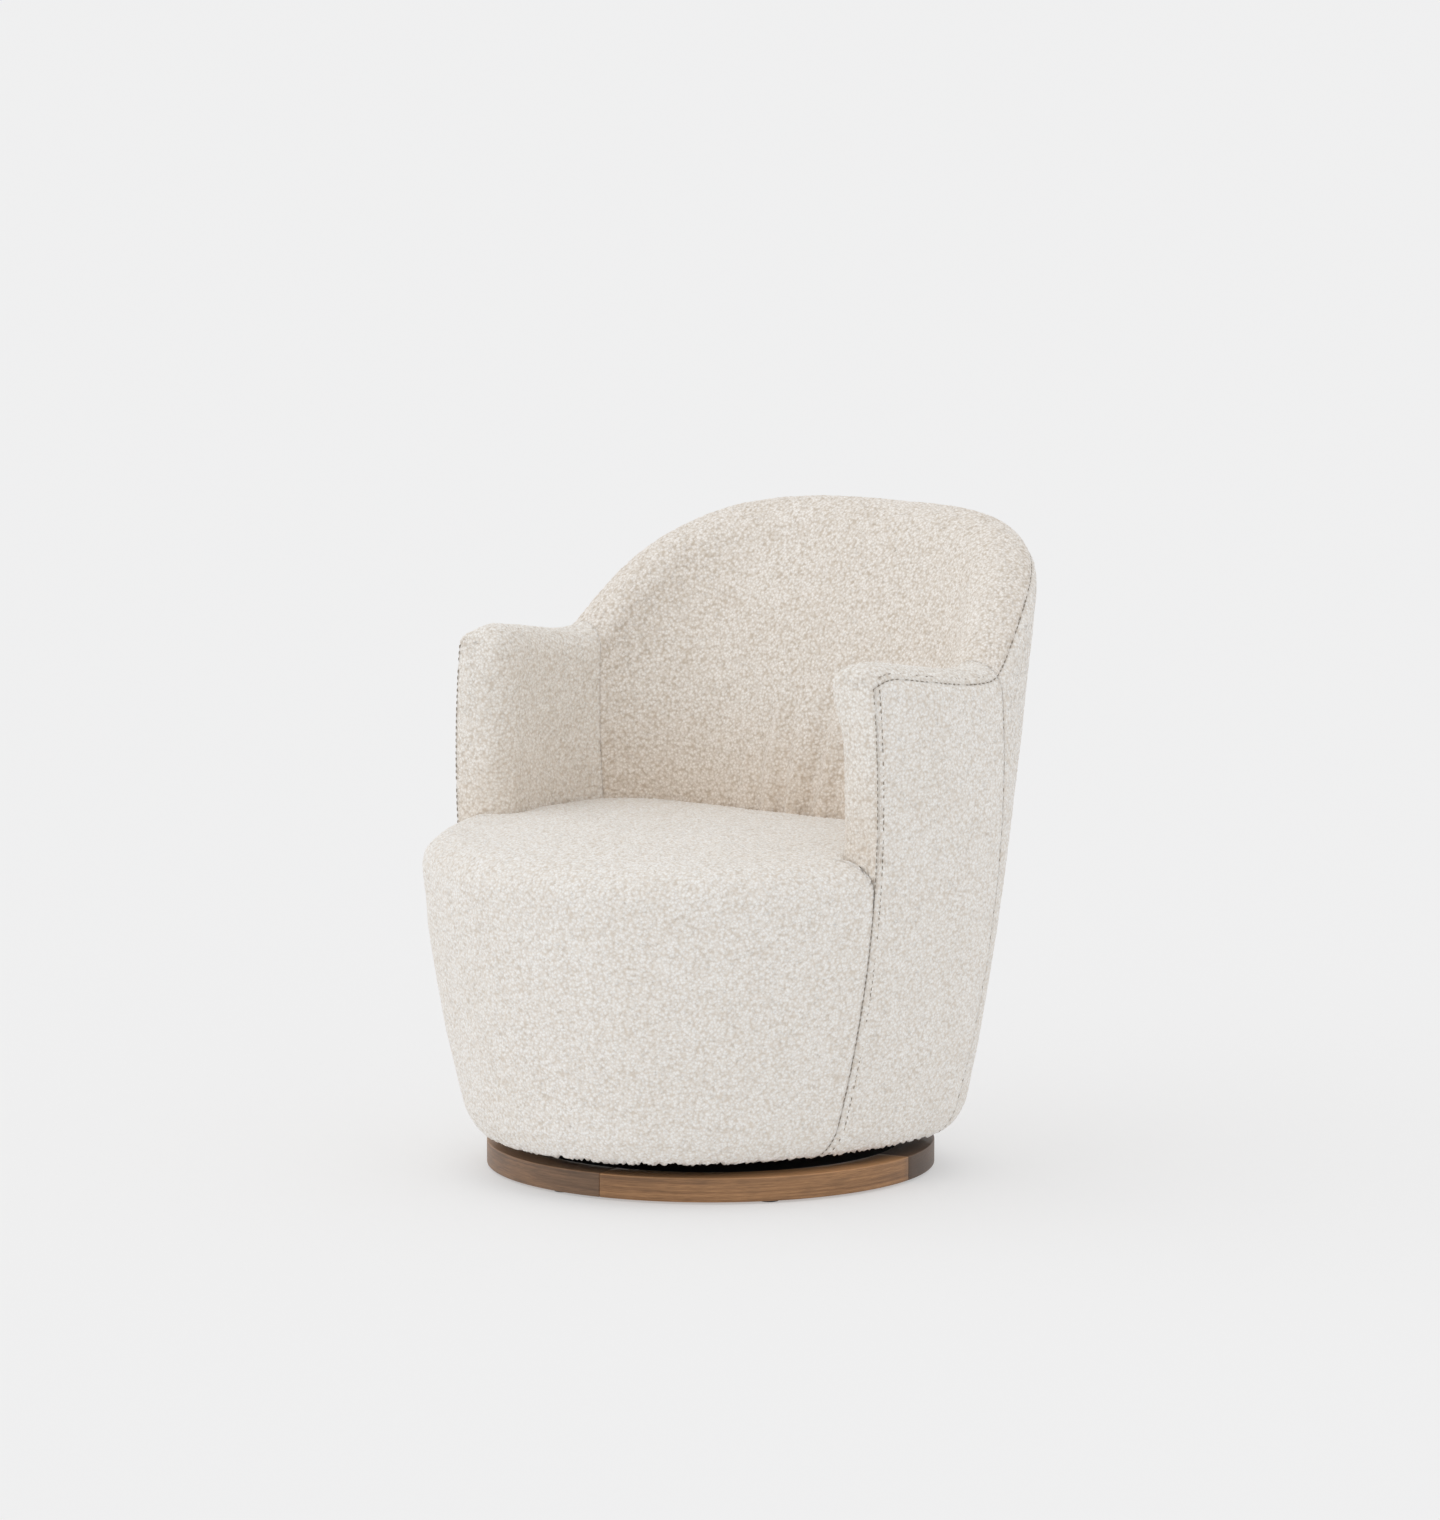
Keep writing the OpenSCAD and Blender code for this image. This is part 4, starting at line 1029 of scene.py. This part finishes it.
WARM, DARK, KNOT = (0.46, 0.245, 0.112), (0.24, 0.120, 0.053), (0.145, 0.080, 0.044)
RIGHT_JOINT, LEFT_JOINT = 0.192, -1.379
stains = [stained("stain_front", 1, WARM, DARK, KNOT, RIGHT_JOINT, 0.05),
          stained("stain_side", 2, (0.160, 0.092, 0.054), (0.080, 0.047, 0.030),
                  (0.062, 0.041, 0.029), RIGHT_JOINT, 0.30),
          stained("stain_rear", 3, WARM, DARK, KNOT),
          stained("stain_other_side", 4, (0.37, 0.213, 0.120), (0.18, 0.102, 0.058),
                  (0.095, 0.064, 0.044), LEFT_JOINT, 0.42)]
for piece, finish in zip(ring, stains):
    dress(piece, finish)
print("stains", len(stains))

# %% [markdown]
# ### Everything under the cloth
# A buyer never sees the deck, ribs, springs and foam, but anyone who opens the model does. Plywood
# gets its rotary-cut figure, steel a faint brushed haze, webbing a plain weave and foam its pores.


# %% Hidden finishes
def plywood(name, pale, deep):
    f = Finish(name, rough=0.7, specular=0.25)
    figure = f.noise(1.0, 5.0, 0.6, f.stretched((3, 28, 28)))
    fleck = f.noise(1.0, 2.0, 0.5, f.stretched((60, 700, 700)))
    base = f.ramp(figure, [(0.35, deep), (0.65, pale)])
    f.colour(f.blend(f.math("MULTIPLY", fleck, 0.3), base, tuple(c * 0.6 for c in deep)))
    f.bump(fleck, 0.0003, 0.5)
    return f


def metal(name, tone, rough):
    f = Finish(name, rough=rough, metal=1.0)
    haze = f.noise(1.0, 3.0, 0.5, f.stretched((30, 900, 900)))
    f.colour(f.ramp(haze, [(0.3, tuple(c * 0.8 for c in tone)), (0.7, tone)]))
    f.roughness(haze, rough * 0.8, rough * 1.3)
    f.bump(haze, 0.00006, 0.4)
    return f


def moulded(name, tone, rough=0.55):
    f = Finish(name, rough=rough, specular=0.4)
    grain = f.noise(1400, 2.0)
    f.colour(f.ramp(grain, [(0.3, tuple(c * 0.8 for c in tone)), (0.7, tone)]))
    f.bump(grain, 0.00012, 0.5)
    return f


def woven(name, tone, scale):
    f = Finish(name, rough=0.9, sheen=0.2, specular=0.15)
    across = f.add("ShaderNodeTexWave", wave_type="BANDS", bands_direction="X")
    down = f.add("ShaderNodeTexWave", wave_type="BANDS", bands_direction="Z")
    for wave in (across, down):
        wave.inputs["Scale"].default_value = scale
        f.join(f.place, wave.inputs["Vector"])
    weave = f.math("MULTIPLY", across.outputs["Fac"], down.outputs["Fac"])
    f.colour(f.ramp(weave, [(0.0, tuple(c * 0.5 for c in tone)), (0.9, tone)]))
    f.bump(weave, 0.0004, 0.6)
    return f


def porous(name, tone):
    f = Finish(name, rough=0.95, specular=0.1)
    pores = f.cells(650)
    f.colour(f.ramp(pores, [(0.1, tuple(c * 0.7 for c in tone)), (0.5, tone)]))
    f.bump(pores, 0.0006, 0.7)
    return f


hidden = {"board": plywood("plywood", (0.60, 0.44, 0.27), (0.44, 0.29, 0.16)),
          "black_board": plywood("black_board", (0.030, 0.020, 0.014), (0.014, 0.010, 0.007)),
          "zinc_steel": metal("zinc_steel", (0.62, 0.62, 0.60), 0.35),
          "polished_steel": metal("ball_steel", (0.80, 0.80, 0.80), 0.12),
          "black_plastic": moulded("black_plastic", (0.025, 0.025, 0.027)),
          "white_plastic": moulded("bush_plastic", (0.78, 0.77, 0.72), 0.4),
          "black_cloth": woven("black_cloth", (0.03, 0.03, 0.032), 900),
          "felt": porous("felt", (0.42, 0.41, 0.39)),
          "foam": porous("foam", (0.86, 0.78, 0.56))}
slots = {part["node"]: part["material_slot"] for part in frame["record"]["subparts"]}
dressed = 0
for node, piece in frame["nodes"].items():
    key = "black_board" if node == "plinth_core" else slots.get(node)
    if key in hidden:
        dress(piece, hidden[key])
        dressed += 1
print("hidden nodes dressed", dressed)

# %% [markdown]
# ## What moves with what
# The whole upholstered body turns on the plinth. The panels, the thread and everything in the frame
# ride on the seat; the ring stays with the floor. Each panel stands for the cloth and foam solids
# that the frame keeps for collisions.

# %% Ride and replace
stands_for = {seat: ("seat_cover", "seat_foam"), back_out: ("outer_back_cover",),
              back_in: ("inside_back_cover", "back_foam"),
              side_left_out: ("left_side_cover",), side_right_out: ("right_side_cover",),
              arm_left: ("left_arm_cover", "left_arm_foam"),
              arm_right: ("right_arm_cover", "right_arm_foam")}
for piece, nodes in stands_for.items():
    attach(piece, "seat")
    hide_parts(*nodes)
for piece in stitching:
    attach(piece, "seat")
for i, piece in enumerate(ring):
    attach(piece, "plinth")
    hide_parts("ring_segment_%d" % (i + 1))
print("riding", len(stands_for) + len(stitching) + len(ring))

# %% [markdown]
# ## Floor, light and camera
# A high-key studio: a white floor under an even white sky, with one broad lamp on the left to give
# the shapes a bright and a shaded side. The floor is a lit table: about half of its brightness is
# its own, so the chair's shadow on it stays pale. It is far larger than the view.

# %% Studio
bpy.ops.object.select_all(action="DESELECT")
bpy.ops.mesh.primitive_plane_add(size=160, location=(0, 0, 0))
floor = bpy.context.object
floor.name = "studio_floor"
floor_finish = Finish("studio_floor", rough=0.9, specular=0.0)
floor_finish.colour((0.50, 0.50, 0.503, 1))
floor_finish.shader.inputs["Emission Color"].default_value = (1.0, 1.0, 1.0, 1)
floor_finish.shader.inputs["Emission Strength"].default_value = 0.392
dress(floor, floor_finish)

sky = bpy.data.worlds.new("sky")
bpy.context.scene.world = sky
sky.use_nodes = True
sky.node_tree.nodes["Background"].inputs[0].default_value = (1.0, 1.0, 1.0, 1)
sky.node_tree.nodes["Background"].inputs[1].default_value = 0.863


def sun(name, strength, azimuth, elevation, spread, tone):
    data = bpy.data.lights.new(name, "SUN")
    data.energy, data.angle, data.color = strength, math.radians(spread), tone
    lamp = bpy.data.objects.new(name, data)
    bpy.context.scene.collection.objects.link(lamp)
    a, e = math.radians(azimuth), math.radians(elevation)
    toward = Vector((math.cos(e) * math.sin(a), -math.cos(e) * math.cos(a), math.sin(e)))
    lamp.rotation_euler = toward.to_track_quat("Z", "Y").to_euler()


sun("broad_lamp", 0.42, -50, 42, 90, (1.0, 0.995, 0.985))
bpy.context.scene.view_settings.view_transform = "Standard"
bpy.context.scene.view_settings.look = "None"
print("studio", floor.name, sky.name, "broad_lamp")

# %% Camera
AZIMUTH, ELEVATION, DISTANCE = math.radians(40.1), math.radians(10.55), 10.0
TURN, TILT = math.radians(40.032), math.radians(7.850)
AIM_Z = 0.033
camera_data = bpy.data.cameras.new("camera")
camera_data.sensor_fit, camera_data.sensor_height, camera_data.sensor_width = "VERTICAL", 24.0, 24.0
camera_data.lens = 126.0
camera_data.clip_end = 400
camera = bpy.data.objects.new("camera", camera_data)
bpy.context.scene.collection.objects.link(camera)
away, up = DISTANCE * math.cos(ELEVATION), DISTANCE * math.sin(ELEVATION)
camera.location = (away * math.sin(AZIMUTH), -away * math.cos(AZIMUTH), AIM_Z + up)
camera.rotation_euler = (math.pi / 2 - TILT, 0, TURN)
bpy.context.scene.camera = camera
print("camera", [round(v, 3) for v in camera.location])
